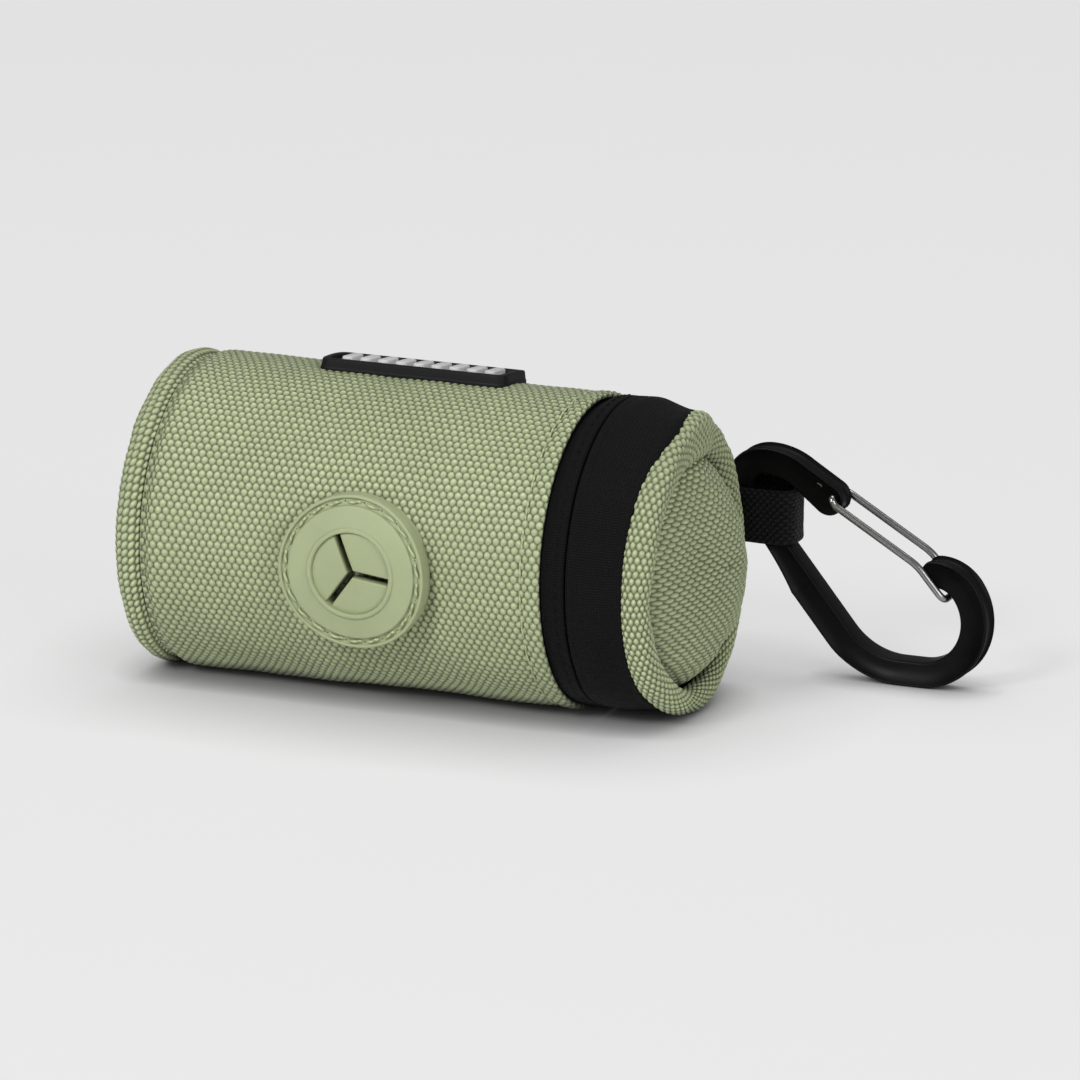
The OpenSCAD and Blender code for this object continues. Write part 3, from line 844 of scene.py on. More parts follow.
def crowned_panel(name, body, seam_x, toward, reach_at, crown, folds, seed, shape, rings=110, around=440):
    """A padded round panel: crowned, gathered at its seam and softly folded, with a flat back.

    A crown given as a function of y and z is also made steeper at the front.
    """
    angle = turns_of(around)[None, :]
    part = np.sin(np.linspace(0.008, 1, rings) * math.pi / 2)[:, None]
    reach = reach_at(angle) + 0 * angle
    y, z = -reach * part * np.sin(angle), reach * part * np.cos(angle)
    at = np.stack([0 * y, y, z], -1)
    edge = np.clip(1 - part**2, 0, 1)
    steep = 0.62
    if callable(crown):
        crown, steep = crown(y, z), steep - 0.14 * np.clip(0.2 - y / reach, 0, 1)
    gather = 0.35 * folds * np.cos(15 * angle + 3 * wander(at, 9.0, seed)) * part**3 * (1 - part**8)
    soft = folds * (wander(at, 9.0, seed + 1) + 0.5 * wander(at, 4.5, seed + 2)) * np.minimum(1.0, 5 * edge)
    counts = np.stack([y, z], -1) / PANEL_YARNS + yarn_drift(at, seed)
    weave = YARN_RISE * (weave_height(counts[..., 0], counts[..., 1]) - 0.5) * np.minimum(1.0, 8 * edge)
    face = np.stack([seam_x + toward * (crown * edge**steep + gather + soft + weave), y, AXIS_Z + z], -1)
    back = [round_x(seam_x - toward * 0.2, reach * share, angle) for share in (1, 0.8, 0.6, 0.4, 0.2, 0.02)]
    rows = rings + len(back)
    faces, corners = grid_faces(rows, around, closed_columns=True, flip=toward < 0)
    caps = end_caps(rows, around, flip=toward > 0)
    counts = np.concatenate([counts, np.repeat(counts[-1:], len(back), 0)])
    a, b = np.array(corners).T
    uv = np.concatenate([counts[a % rows, b % around]] + [counts.reshape(-1, 2)[cap] for cap in caps])
    grid = shape(np.concatenate([face, *back]))
    panel = new_piece(name, grid, faces + caps, body, finish("cover_cloth"), "shell_fabric", uv)
    return panel


# --- Zip ------------------------------------------------------------------------------------

STITCH_FROM_CLOSE = 1.5
STITCH_DROP_ZIP = 0.1
BAND_SWELL, BAND_TOP_SWELL = 0.55, 0.8
BAND_OVER_ROLL, BAND_UP_ROLL = 2.2, 0.7
BURIED = 1.3
TAPE_YARNS = (0.45, 0.42)


def tape_swell(angle):
    """How far the zip band stands out round the tube, in mm: over the top and front, flat where the slider stops."""
    turn = np.mod(np.asarray(angle) + FRONT, FULL)
    swell = BAND_SWELL * (1 - ramp(turn, 3.9, 4.6)) + BAND_TOP_SWELL * np.clip(np.cos(angle), 0, 1) ** 2
    return ramp(turn, 1.1, 1.3) * swell


def tape_strip(name, body, x, r, hinge_gap, swell, stretch):
    """A zip tape from its profile, closed on itself.

    hinge_gap draws the zip's edge back at the hinge. swell and stretch are each row's share of the band's
    swelling, and of its reach over the roll at the top.
    """
    around = 288
    angle = turns_of(around)
    x, r, swell, stretch = (row[:, None] for row in (x, r, swell, stretch))
    upper = bell(about_turn(angle), 0.3, 0.45) * stretch
    strays = 0.14 * wander(noise_points(x, 24, angle), 8.0, 9.0)
    out = r + strays + swell * tape_swell(angle) + BAND_UP_ROLL * upper
    gap = hinge_gap * bell(x, CLOSE_X, 0.6) * bell(angle, REAR, 0.7, 4)
    grid = settle(round_x(x + gap + BAND_OVER_ROLL * upper, out, angle), 0.1)
    turns = even(FULL * TAPE_R / TAPE_YARNS[1])
    return sheet_piece(
        name, grid, body, finish("zip_tape"), "zip_tape",
        run_along(np.hstack([x, r])) / TAPE_YARNS[0], np.arange(around + 1) * turns / around,
    )


class DISPENSER_OT_zip(Operator):
    """Makes both zip tapes and the stitching beside them, and gives the coils, slider, pull and stops their finishes
    """

    bl_idname = "dispenser.zip"
    bl_label = "Zip"

    def execute(self, context):
        outer, inner = TAPE_R - 0.05, TAPE_R - 0.6
        middle, fold = (outer + inner) / 2, (outer - inner) / 2
        bend = np.linspace(0, math.pi, 7)

        start = EDGE_X - 3
        span = np.linspace(start, CLOSE_X - 0.45, 22)
        top = outer - STITCH_DROP_ZIP * bell(span, CLOSE_X - STITCH_FROM_CLOSE, 0.3)
        x = np.concatenate([span, CLOSE_X - 0.34 + fold * np.sin(bend) - fold + 0.25, [CLOSE_X - 1.2, start]])
        r = np.concatenate([top, middle + fold * np.cos(bend), [inner, inner]])
        swell = np.concatenate([ramp(span, EDGE_X - 0.5, EDGE_X + 2.5), (1 + np.cos(bend)) / 2, [0, 0]])
        tube_tape = tape_strip("tube_tape", "tube", x, r, -0.35, swell, 0 * x)
        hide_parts("zip_tape_tube")

        span = np.linspace(CLOSE_X + 0.45, SEAM_X + BURIED, 38)
        top = outer + 0.15 * np.sin(np.clip((span - CLOSE_X) / (SEAM_X - CLOSE_X), 0, 1) * math.pi)
        top -= 0.25 * ramp(span, SEAM_X - 5.5, SEAM_X) + 1.6 * ramp(span, SEAM_X - 0.2, SEAM_X + BURIED)
        top -= STITCH_DROP_ZIP * bell(span, CLOSE_X + STITCH_FROM_CLOSE, 0.3)
        x = np.concatenate([[SEAM_X + 1.1, CLOSE_X + 1.2], CLOSE_X + 0.34 - fold * np.sin(bend) + fold - 0.25, span])
        r = np.concatenate([[inner - 1.6, inner], middle - fold * np.cos(bend), top])
        swell = np.concatenate([[0, 0], (1 - np.cos(bend)) / 2, 1 - ramp(span, SEAM_X - 6.5, SEAM_X - 0.5)])
        stretch = np.concatenate([np.zeros(len(x) - len(span)), ramp(span, SEAM_X - 5, SEAM_X)])
        cap_tape = tape_strip("cap_tape", "cap", x, r, 0.35, swell, stretch)
        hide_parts("zip_tape_cap")

        self.sew("tube_tape_stitches", CLOSE_X - STITCH_FROM_CLOSE, outer - 0.08, "tube")
        self.sew("cap_tape_stitches", CLOSE_X + STITCH_FROM_CLOSE, outer - 0.08, "cap")
        for node in ("zip_coil_tube", "zip_coil_cap"):
            dress(node, "coil_nylon")
        for node in ("zip_slider", "zip_pull", "zip_stops"):
            dress(node, "slider_coat")
        return {"FINISHED"}

    def sew(self, name, x, radius, body, count=72):
        """A row of stitches round the band, with none at the hinge or under the tube."""
        paths = []
        for turn in turns_of(count):
            if abs(turn - REAR) < 0.62:
                continue
            ends = [(x, a, radius + float(tape_swell(a))) for a in (turn, turn + FULL * 0.8 / count)]
            path = stitch_path(ends, 0.05, 0.2, 5)
            if path[:, 2].min() > 0.35:
                paths.append(path)
        points, faces = thread_grids(paths, 0.09, 6)
        new_piece(name, points, faces, body, finish("black_thread"), "zip_tape")


class DISPENSER_OT_hinge(Operator):
    """Makes the cloth hinge that joins the cap to the tube at the rear"""

    bl_idname = "dispenser.hinge"
    bl_label = "Hinge"

    def execute(self, context):
        low, high = box_mm("hinge_tab")
        half = math.radians(31.5)
        cloth = context.scene.dispenser_cloth
        columns = 60
        angle = REAR + np.linspace(-half, half, columns)
        x = np.linspace(low[0] + 0.05, high[0] - 0.05, 30)
        outer, inner = TUBE_R - 0.02, TUBE_R - CLOTH_T + 0.1
        edge = np.minimum(np.abs(angle - angle[0]), np.abs(angle - angle[-1])) * TUBE_R
        round_edge = 0.3 * (1 - ramp(edge, 0, 0.6))
        top = [round_x(v, outer - round_edge + 0.08 * noise.noise(Vector((v * 0.3, 2, 1))), angle) for v in x]
        under = [round_x(v, inner + round_edge * 0.5, angle) for v in x[::-1]]
        grid = np.array(top + under)
        rows = len(grid)
        faces, corners = grid_faces(rows, columns, closed_rows=True)
        first = [i * columns for i in reversed(range(rows))]
        last = [(i + 1) * columns - 1 for i in range(rows)]
        u = np.concatenate([x, x[::-1], x[:1]]) / cloth.yarn_along
        v = angle * TUBE_R / cloth.yarn_round
        uv = [(u[a], v[b]) for a, b in corners] + [(0.0, 0.0)] * (2 * rows)
        tab = new_piece("cloth_hinge", grid, faces + [first, last], None, finish("cover_cloth"), "shell_fabric", uv)
        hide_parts("hinge_tab")
        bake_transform(tab)
        return {"FINISHED"}


# --- Cap ------------------------------------------------------------------------------------

CAP_PULL_FROM = EDGE_X + 6
THIN_FRONT, THIN_FOOT = 0.55, 1.05
BACK_FRONT, BACK_FOOT = 1.6, -0.9
UNDER_TAPE = 0.5
TALL_TOP, TALL_RIM, NARROW_TOP = 2.0, 0.9, 1.3
PINCH = 0.16
PANEL_DEEPER = 2.3


def lean_back(points, angle):
    """Leans the cap's end towards the rear, most at its top: the rear is drawn in and the front stays."""
    x, y, z = points[..., 0], points[..., 1], points[..., 2]
    along = ramp(x, CAP_PULL_FROM, SEAM_X + 1)
    more = 0.55 + 0.6 * np.clip(z / (2 * AXIS_Z), 0, 1)
    x -= math.tan(angle) * more * (y + TUBE_R) * along
    z -= along * (0.2 * np.clip(z / AXIS_Z, 0, 1) + 0.008 * np.maximum(z - AXIS_Z, 0))
    return points


class DISPENSER_OT_cap(Operator):
    """Makes the padded roll and the crowned, folded end panel of the cap"""

    bl_idname = "dispenser.cap"
    bl_label = "Cap"

    def execute(self, context):
        cap, cloth = context.scene.dispenser_cap, context.scene.dispenser_cloth
        ring_r = box_mm("cap_roll")[1][1] - cap.roll
        centre_x = SEAM_X + cap.roll + 0.1
        turns = even(FULL * (ring_r + 0.7 * cap.roll) / cloth.yarn_round)
        wraps = even(FULL * cap.roll / cloth.yarn_along)
        around, sides = 4 * turns, 3 * wraps
        s, a = np.meshgrid(np.arange(sides) * FULL / sides, np.arange(around) * FULL / around, indexing="ij")
        out, up = np.cos(s), np.sin(s)
        at = np.stack([22 * np.cos(a), 22 * np.sin(a), 3 * out], -1)

        front, foot = bell(a, 1.1 * FRONT, 0.9), bell(a, 1.05 * BOTTOM, 0.75, 4)
        thin = THIN_FRONT * front + THIN_FOOT * foot
        lumps = 0.3 * wander(at, 9.0, 21.0) + 0.12 * wander(at, 3.5, 22.0)
        radius = cap.roll - thin + lumps * ramp(out, -1.1, 0.2)
        radius -= UNDER_TAPE * ramp(-out, -0.3, 0.3) * np.clip(-2 * np.sin(a), 0, 1)
        turn = about_turn(a)
        tall = TALL_RIM * np.clip(np.sin(2 * s), 0, 1) ** 2 * (up > 0) + TALL_TOP * np.clip(-up, 0, 1) ** 2
        radius += bell(turn, 0, 0.7) * (tall - NARROW_TOP * np.clip(-out, 0, 1) ** 2)
        pinch = bell(turn, -0.5, 0.16) + 0.5 * bell(turn, -0.78, 0.1)
        radius *= 1 - PINCH * pinch * ramp(out, -0.6, 0.6)

        drift = yarn_drift(at, 3.0)
        along, across = np.arange(sides + 1) * wraps / sides, np.arange(around + 1) * turns / around
        rise = weave_height(along[:-1, None] + drift[..., 0], across[None, :-1] + drift[..., 1])
        radius += YARN_RISE * (rise - 0.6)
        shift = BACK_FRONT * front + BACK_FOOT * foot
        grid = round_x(centre_x - shift + radius * out, ring_r + thin + radius * up, a)
        settle(lean_back(grid, cap.lean), FLOOR_GAP)
        roll = sheet_piece(
            "cap_roll_cloth", grid, "cap", finish("cover_cloth"), "shell_fabric", along, across, drift=drift
        )
        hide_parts("cap_roll")

        panel = crowned_panel(
            "cap_crown", "cap", centre_x - PANEL_DEEPER, 1,
            lambda angle: ring_r - cap.roll + 0.9 + 1.5 * bell(np.mod(angle, FULL), 1.1 * BOTTOM, 1.0, 4),
            lambda y, z: cap.crown * (1 + 0.4 * y / ring_r - 0.1 * z / ring_r),
            cap.folds, 31.0, lambda grid: lean_back(grid, cap.lean),
        )
        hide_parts("cap_end_panel")
        return {"FINISHED"}


# --- Patch and label ------------------------------------------------------------------------

PATCH_RING_H = 0.4
PATCH_FACE_BASE = PATCH_FACE_R - PATCH_RING_H
PATCH_BEND_R = 43.0
PATCH_GROOVE = 11.4
PATCH_SKIRT = -2.4


def patch_points(across, up, height):
    """Points over the patch: across and up from its centre, height above the middle of its bent face."""
    across, up, height = np.broadcast_arrays(across, up, height)
    bend = PATCH_BEND_R - np.sqrt(PATCH_BEND_R**2 - up**2)
    return np.stack([PATCH_X + across, bend - PATCH_FACE_BASE - height, AXIS_Z + up], -1)


def loop_stack(place, outlines, first=0, shares=(0.8, 0.55, 0.3), heart=(0.0, 0.0), base=-1):
    """Points and faces of nested outlines at their heights, closed at the heart of the last.

    place turns flat points and a height into points. base is -1 to turn the lowest face downwards.
    """
    rings = [place(flat[:, 0], flat[:, 1], height) for flat, height in outlines]
    flat, height = outlines[-1]
    for share in shares:
        inner = heart + (flat - heart) * share
        rings.append(place(inner[:, 0], inner[:, 1], height))
    size = len(flat)
    quads, _ = grid_faces(len(rings), size, closed_columns=True)
    points = np.concatenate([*rings, [place(*heart, height)]]).tolist()
    last = (len(rings) - 1) * size
    faces = quads + [[last + (k + 1) % size, last + k, len(points) - 1] for k in range(size)]
    faces.append(list(range(size))[::base])
    return points, [[first + k for k in face] for face in faces]


class DISPENSER_OT_patch(Operator):
    """Makes the rubber patch with its ring, its stitched groove and its three-way slit"""

    bl_idname = "dispenser.patch"
    bl_label = "Patch"

    def execute(self, context):
        patch = context.scene.dispenser_patch
        edge, ring, lip = patch.diameter / 2, 7.4, 0.8
        outside, inside = PATCH_GROOVE + 0.6, PATCH_GROOVE - 0.6
        profile = rounded_path([
            (edge - 0.5, -4.6), (edge, -2.6), (edge, 0.0), (outside, 0.0), (outside - 0.06, -0.55),
            (inside + 0.06, -0.55), (inside, 0.0), (ring + 0.1, 0.0), (ring - 0.05, PATCH_RING_H),
            (ring - lip + 0.1, PATCH_RING_H), (ring - lip, -0.2), (ring - lip - 0.05, -2.2), (ring - lip, -4.2),
        ], 0.28, 4, 0.45)
        around = 128
        angle = turns_of(around)
        r, h = profile[:, :1], profile[:, 1:]
        grid = patch_points(r * np.cos(angle), r * np.sin(angle), h)
        low_r = TUBE_R - CLOTH_T
        deep = np.hypot(grid[..., 1], grid[..., 2] - AXIS_Z)
        scale = np.where((h < PATCH_SKIRT) & (deep < low_r + 3), low_r / np.maximum(deep, 1), 1)
        grid[..., 1] *= scale
        grid[..., 2] = AXIS_Z + (grid[..., 2] - AXIS_Z) * scale
        faces, _ = grid_faces(len(profile), around, True, True)
        points = grid.reshape(-1, 3).tolist()
        for k in range(3):
            start = math.radians(-7) + k * FULL / 3
            more_points, more_faces = self.flap(len(points), start, FULL / 3, 0.55, ring - lip + 0.02)
            points += more_points
            faces += more_faces
        piece = new_piece("rubber_patch", points, faces, "tube", finish("patch_rubber"), "patch_rubber")
        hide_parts("dispenser_patch")
        self.sew(patch.stitches)
        return {"FINISHED"}

    def flap(self, first, start, sector, half_slit, reach, count=16):
        """One of the three flaps between the arms of the slit, with rounded edges."""

        def side(run, angle, off):
            c, s = math.cos(angle), math.sin(angle)
            return np.stack([run * c - off * s, run * s + off * c], -1)

        def outline(inset):
            gap, out = half_slit + inset, reach - 0.2 * inset
            near, far = gap / math.tan(sector / 2), math.sqrt(out**2 - gap**2)
            run = near + (far - near) * np.linspace(0, 1, count)
            half = math.asin(gap / out)
            rim = start + half + (sector - 2 * half) * np.linspace(0, 1, 2 * count)[1:-1]
            arc = out * np.stack([np.cos(rim), np.sin(rim)], -1)
            return np.concatenate([side(run, start, gap), arc, side(run[:0:-1], start + sector, -gap)])

        steps = ((0.0, PATCH_SKIRT), (0.0, -0.42), (0.05, -0.28), (0.15, -0.215), (0.3, -0.2))
        middle = start + sector / 2
        heart = 0.58 * reach * np.array([math.cos(middle), math.sin(middle)])
        outlines = [(outline(inset), height) for inset, height in steps]
        return loop_stack(patch_points, outlines, first, (0.75, 0.5, 0.25), heart, 1)

    def sew(self, count):
        paths, holes = [], []
        t = np.linspace(0, 1, 9)
        for k in range(count):
            angle = FULL * (k + 0.1 + 0.8 * t) / count
            radius = PATCH_GROOVE + 0.1 * np.sin(FULL * t)
            rise = -0.62 + 0.42 * np.sin(math.pi * t).clip(0) ** 0.6
            paths.append(patch_points(radius * np.cos(angle), radius * np.sin(angle), rise))
            hole = FULL * k / count
            across, up = PATCH_GROOVE * math.cos(hole), PATCH_GROOVE * math.sin(hole)
            holes.append(patch_points(across, up, np.array([-0.75, -0.6, -0.53])))
        points, faces = thread_grids(paths, 0.23)
        new_piece("patch_stitches", points, faces, "tube", finish("sage_thread"), "shell_fabric")
        # painted shade: the short threads down each needle hole take the dark thread, so each hole shows as a dark
        # dot
        points, faces = thread_grids(holes, 0.24)
        new_piece("patch_needle_hole_painted_shade", points, faces, "tube", finish("dark_thread"), "patch_rubber")


def rounded_box_outline(length, width, corner, parts=8):
    """Points round a rectangle with round corners, anticlockwise."""
    out = []
    for cx, cy, first in ((1, 1, 0), (-1, 1, 90), (-1, -1, 180), (1, -1, 270)):
        middle = np.array((cx * (length / 2 - corner), cy * (width / 2 - corner)))
        out += [turned(middle, corner, first + 90 * k / parts) for k in range(parts + 1)]
    return np.array(out)


LABEL_LEAN = math.radians(7)
LABEL_X = PATCH_X - 0.9
LABEL_TOP_R = TUBE_R + 2.4
LABEL_BEND_R = 45.0


def label_points(along, across, height):
    """Points over the label: along the tube, across it, and up from the middle of its face."""
    along, across, height = np.broadcast_arrays(along, across, height)
    radius = LABEL_BEND_R + height
    up = LABEL_TOP_R - LABEL_BEND_R + radius * np.cos(across / LABEL_BEND_R)
    side = radius * np.sin(across / LABEL_BEND_R)
    y = side * math.cos(LABEL_LEAN) + up * math.sin(LABEL_LEAN)
    z = up * math.cos(LABEL_LEAN) - side * math.sin(LABEL_LEAN)
    return np.stack([LABEL_X + along, y, AXIS_Z + z], -1)


class DISPENSER_OT_label(Operator):
    """Makes the rimmed rubber label with its row of plain raised ribs"""

    bl_idname = "dispenser.label"
    bl_label = "Label"

    def execute(self, context):
        length, width, rim, floor = 32.6, 10.4, 1.5, 0.9
        steps = rounded_path([
            (0.0, -3.4), (0.0, -1.5), (0.12, -1.35), (0.35, 0.0),
            (rim - 0.1, 0.0), (rim, -floor), (rim + 0.5, -floor),
        ], 0.22, 4, 0.45)
        outlines = []
        for inset, height in steps:
            flat = rounded_box_outline(length - 2 * inset, width - 2 * inset, max(0.3, 1.4 - inset * 0.7))
            outlines.append((resample(np.vstack([flat, flat[:1]]), 110, endpoint=False), height))
        points, faces = loop_stack(label_points, outlines)
        label = new_piece("rubber_label", points, faces, "tube", finish("label_rubber"), "label_rubber")
        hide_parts("body_label")
        points, faces = [], []
        count, pitch = 9, 3.1
        rib = [
            (rounded_box_outline(1.9 - 2 * inset, 5.6 - 2 * inset, 0.94 - inset, 6), rise - floor)
            for inset, rise in ((0.0, -0.1), (0.0, 0.75), (0.06, 0.9), (0.18, 1.0), (0.34, 1.04))
        ]
        for k in range(count):
            middle = np.array(((k - (count - 1) / 2) * pitch, 0.0))
            moved = [(flat + middle, height) for flat, height in rib]
            more_points, more_faces = loop_stack(label_points, moved, len(points), (0.6, 0.3), middle)
            points += more_points
            faces += more_faces
        new_piece("label_ribs", points, faces, "tube", finish("label_ribs"), "label_rubber")
        return {"FINISHED"}


# --- Webbing, carabiner and gate ------------------------------------------------------------

WEB_LOW, WEB_HIGH = box_mm("webbing_loop")
ROOT_LOW, ROOT_HIGH = box_mm("webbing_root")
WEB_T = (ROOT_HIGH[1] - ROOT_LOW[1]) / 2
WEB_YARNS = (0.55, 0.6)
WEB_BEND_R = 2.2
WEB_RISE = 1.6


class DISPENSER_OT_webbing(Operator):
    """Makes the webbing loop, sewn down behind the cap"""

    bl_idname = "dispenser.webbing"
    bl_label = "Webbing"

    def execute(self, context):
        half_t, half_w = WEB_T / 2 - 0.03, (WEB_HIGH[2] - WEB_LOW[2]) / 2
        near, far = ROOT_LOW[1] + WEB_T / 2, WEB_HIGH[1] - WEB_T / 2
        root, free, end = ROOT_LOW[0] + 0.1, WEB_LOW[0], WEB_HIGH[0] - WEB_T / 2
        doubled = near + WEB_T
        corners = ((root, near), (end, near), (end, far), (free + 2.7, far), (free + 0.2, doubled), (root, doubled))
        path = rounded_path([(x, y, (WEB_LOW[2] + WEB_HIGH[2]) / 2) for x, y in corners], WEB_BEND_R, 8)
        path = resample(path, round(run_along(path)[-1] / 0.35))
        path[:, 2] += WEB_RISE * ramp(path[:, 1], near + 2.5, far) * (1 - ramp(path[:, 0], 44, WEB_HIGH[0] - 0.5))

        bend = np.linspace(0, -math.pi, 7)
        side = np.stack([half_t * np.cos(bend), half_t - half_w + half_t * np.sin(bend)], -1)
        flat = np.linspace(half_t - half_w, half_w - half_t, 14)[1:-1]
        half_ring = np.concatenate([side, np.stack([np.full(12, -half_t), flat], -1)])
        ring = np.concatenate([half_ring, -half_ring])
        grid = swept(path, ring)
        grid += 0.06 * wander(grid, 2.0, 5.0)[..., None]

        run, girth = run_along(path), run_along(np.vstack([ring, ring[:1]]))
        turns = even(girth[-1] / WEB_YARNS[1])
        rows, columns = grid.shape[:2]
        faces, corners = grid_faces(rows, columns, closed_columns=True)
        uv = [(run[a] / WEB_YARNS[0], girth[b] / girth[-1] * turns) for a, b in corners]
        uv += [(0.0, 0.0)] * (2 * columns)
        faces += end_caps(rows, columns)
        strap = new_piece("webbing_strap", grid, faces, None, finish("webbing"), "webbing", uv)
        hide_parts("webbing_loop", "webbing_root")
        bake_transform(strap)
        return {"FINISHED"}


BAR_T = 4.2
CLIP_AT = (71.05, 28.7)
SPINE_TILT = 51
SPINE_N = np.array((math.sin(math.radians(SPINE_TILT)), math.cos(math.radians(SPINE_TILT))))


def clip_points(flat, depth):
    """Points of the carabiner's plane, [along, up], at a depth through the bar."""
    flat = np.asarray(flat, float)
    return np.stack(np.broadcast_arrays(CLIP_AT[0] + flat[..., 0], CLIP_AT[1] - depth, flat[..., 1]), -1)


class BarShape:
    """The middle line of the bent bar, as tangent arcs and straights, with its normals and widths."""

    WAIST_R, WAIST_DEPTH, WAIST_AT = 50.0, 1.3, 0.81

    def __init__(self, bar):
        half = bar / 2
        heel_r, toe_r, nose_r, neck_r, arch_r = 13.4, 9.1, 6.0, 4.6, 10.2
        arch_top, head_tilt, head_len, head_grow, toe_end = 34.9, 35.5, 5.9, 0.4, 35.6
        heel, toe = np.array((-3.2, half + heel_r)), np.array((0.3, half + toe_r))
        nose = turned(toe, toe_r - nose_r, toe_end)
        spine_start = heel - heel_r * SPINE_N
        neck_v = arch_top - neck_r
        neck_u = (spine_start @ SPINE_N + neck_r - neck_v * SPINE_N[1]) / SPINE_N[0]
        neck, arch = np.array((neck_u, neck_v)), np.array((neck_u, arch_top - arch_r))
        spine_end = neck - neck_r * SPINE_N
        head_start = turned(arch, arch_r, 90 - head_tilt)
        head_end = head_start + turned((0, 0), head_len, -head_tilt)
        waist = spine_start + self.WAIST_AT * (spine_end - spine_start) - half * SPINE_N
        self.waist = waist - (self.WAIST_R - self.WAIST_DEPTH) * SPINE_N
        self.gate_pivot = head_end + (1.1, 0.5)
        self.points, self.normals, self.halves = [], [], []
        self.line(head_end, head_start, half + head_grow, half, 12)
        self.arc(arch, arch_r, 90 - head_tilt, 90, half, 12)
        self.arc(neck, neck_r, 90, 270 - SPINE_TILT, half, 26)
        self.line(spine_end, spine_start, half, half, 44)
        self.arc(heel, heel_r, 270 - SPINE_TILT, 270, half, 16)
        self.line(heel - (0, heel_r), toe - (0, toe_r), half, half, 4)
        self.arc(toe, toe_r, -90, toe_end, half, 40)
        self.arc(nose, nose_r, toe_end, 90, half, 16)

    def add(self, point, normal, half):
        """One point of the line. The bar is scooped out at its waist and swells a little higher up."""
        if self.points and np.linalg.norm(self.points[-1] - point) < 0.05:
            return
        to = point - self.waist
        off = to @ normal
        inside = off**2 - to @ to + self.WAIST_R**2
        reach = -off - math.sqrt(inside) if inside > 0 else half
        outer = reach + 0.3 if 0 < reach < half else half + 0.2 * float(ramp(point[1], 3.0, 7.0))
        self.points.append(point)
        self.normals.append(normal)
        self.halves.append((outer, half))

    def arc(self, centre, radius, start, end, half, steps):
        for a in np.linspace(start, end, steps + 1):
            point = turned(centre, radius, a)
            self.add(point, (point - centre) / radius, half)

    def line(self, start, end, half_start, half_end, steps):
        ahead = unit(end - start)
        for t in np.linspace(0, 1, steps + 1):
            half = half_start + (half_end - half_start) * t
            self.add(start + (end - start) * t, np.array((ahead[1], -ahead[0])), half)


class DISPENSER_OT_carabiner(Operator):
    """Makes the carabiner's bevelled bar"""

    bl_idname = "dispenser.carabiner"
    bl_label = "Carabiner"

    def execute(self, context):
        clip = context.scene.dispenser_clip
        shape = BarShape(clip.bar)
        bend = np.linspace(0, math.pi / 2, 5)
        corner = clip.bevel * np.stack([1 - np.cos(bend), 1 - np.sin(bend)], -1)

        def section(point, normal, outer, inner):
            ring = []
            for side, reach, face in ((1, outer, corner), (-1, inner, corner[::-1])):
                edge = [(side * (reach - cut_in), side * (BAR_T / 2 - cut_t)) for cut_in, cut_t in face]
                ring += edge + [(s, -d) for s, d in edge[::-1]]
            return np.array([clip_points(point + normal * s, d) for s, d in ring])

        def rounded_end(k, beside):
            point, normal, (outer, inner) = shape.points[k], shape.normals[k], shape.halves[k]
            out = unit(point - shape.points[beside])
            for a in np.linspace(0.04, math.pi / 2, 10)[:-1]:
                yield section(point + out * outer * math.cos(a), normal, outer * math.sin(a), inner * math.sin(a))

        rows = list(rounded_end(0, 1))
        rows += [section(p, n, *h) for p, n, h in zip(shape.points, shape.normals, shape.halves)]
        grid = np.array(rows + list(rounded_end(-1, -2))[::-1])
        faces, _ = grid_faces(*grid.shape[:2], closed_columns=True)
        faces += end_caps(*grid.shape[:2])
        bar = new_piece("carabiner_bar", grid, faces, "carabiner", finish("clip_coat"), "carabiner_alloy")
        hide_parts("carabiner_body")
        dress("gate_wire_end", "wire_steel")
        return {"FINISHED"}


class DISPENSER_OT_gate(Operator):
    """Makes the wire gate as one bent wire"""

    bl_idname = "dispenser.gate"
    bl_label = "Gate"

    def execute(self, context):
        clip = context.scene.dispenser_clip
        pivot, bend, tip = BarShape(clip.bar).gate_pivot, np.array((0.5, 21.1)), np.array((4.85, 15.4))
        leg = BAR_T / 2 + 0.2 + clip.wire
        ahead = unit(bend - pivot)
        away = np.array((ahead[1], -ahead[0]))
        start = pivot + ahead
        corners = (
            (pivot, 0, leg - 2.1), (pivot, 0, leg), (start, 0.6, leg), (bend, 0.6, leg), (tip, 0.2, leg),
            (tip, -0.1, -leg), (bend, -0.25, -leg), (start, -0.25, -leg), (pivot, 0, -leg), (pivot, 0, 2.1 - leg),
        )
        path = rounded_path([clip_points(point + off * away, depth) for point, off, depth in corners], 1.5, 8)
        path = resample(path, round(run_along(path)[-1] / 0.3))
        points, faces = thread_grids([path], clip.wire, 20)
        gate = new_piece("gate_wire", points, faces, "gate", finish("wire_steel"), "steel_wire")
        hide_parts("carabiner_gate")
        return {"FINISHED"}


# --- Inside ---------------------------------------------------------------------------------

DISC_YARN = 0.55
CAP_LINING_R, CAP_FOAM_R = 22.6, 16.0
CAP_DISC_SHIFT = -1.75


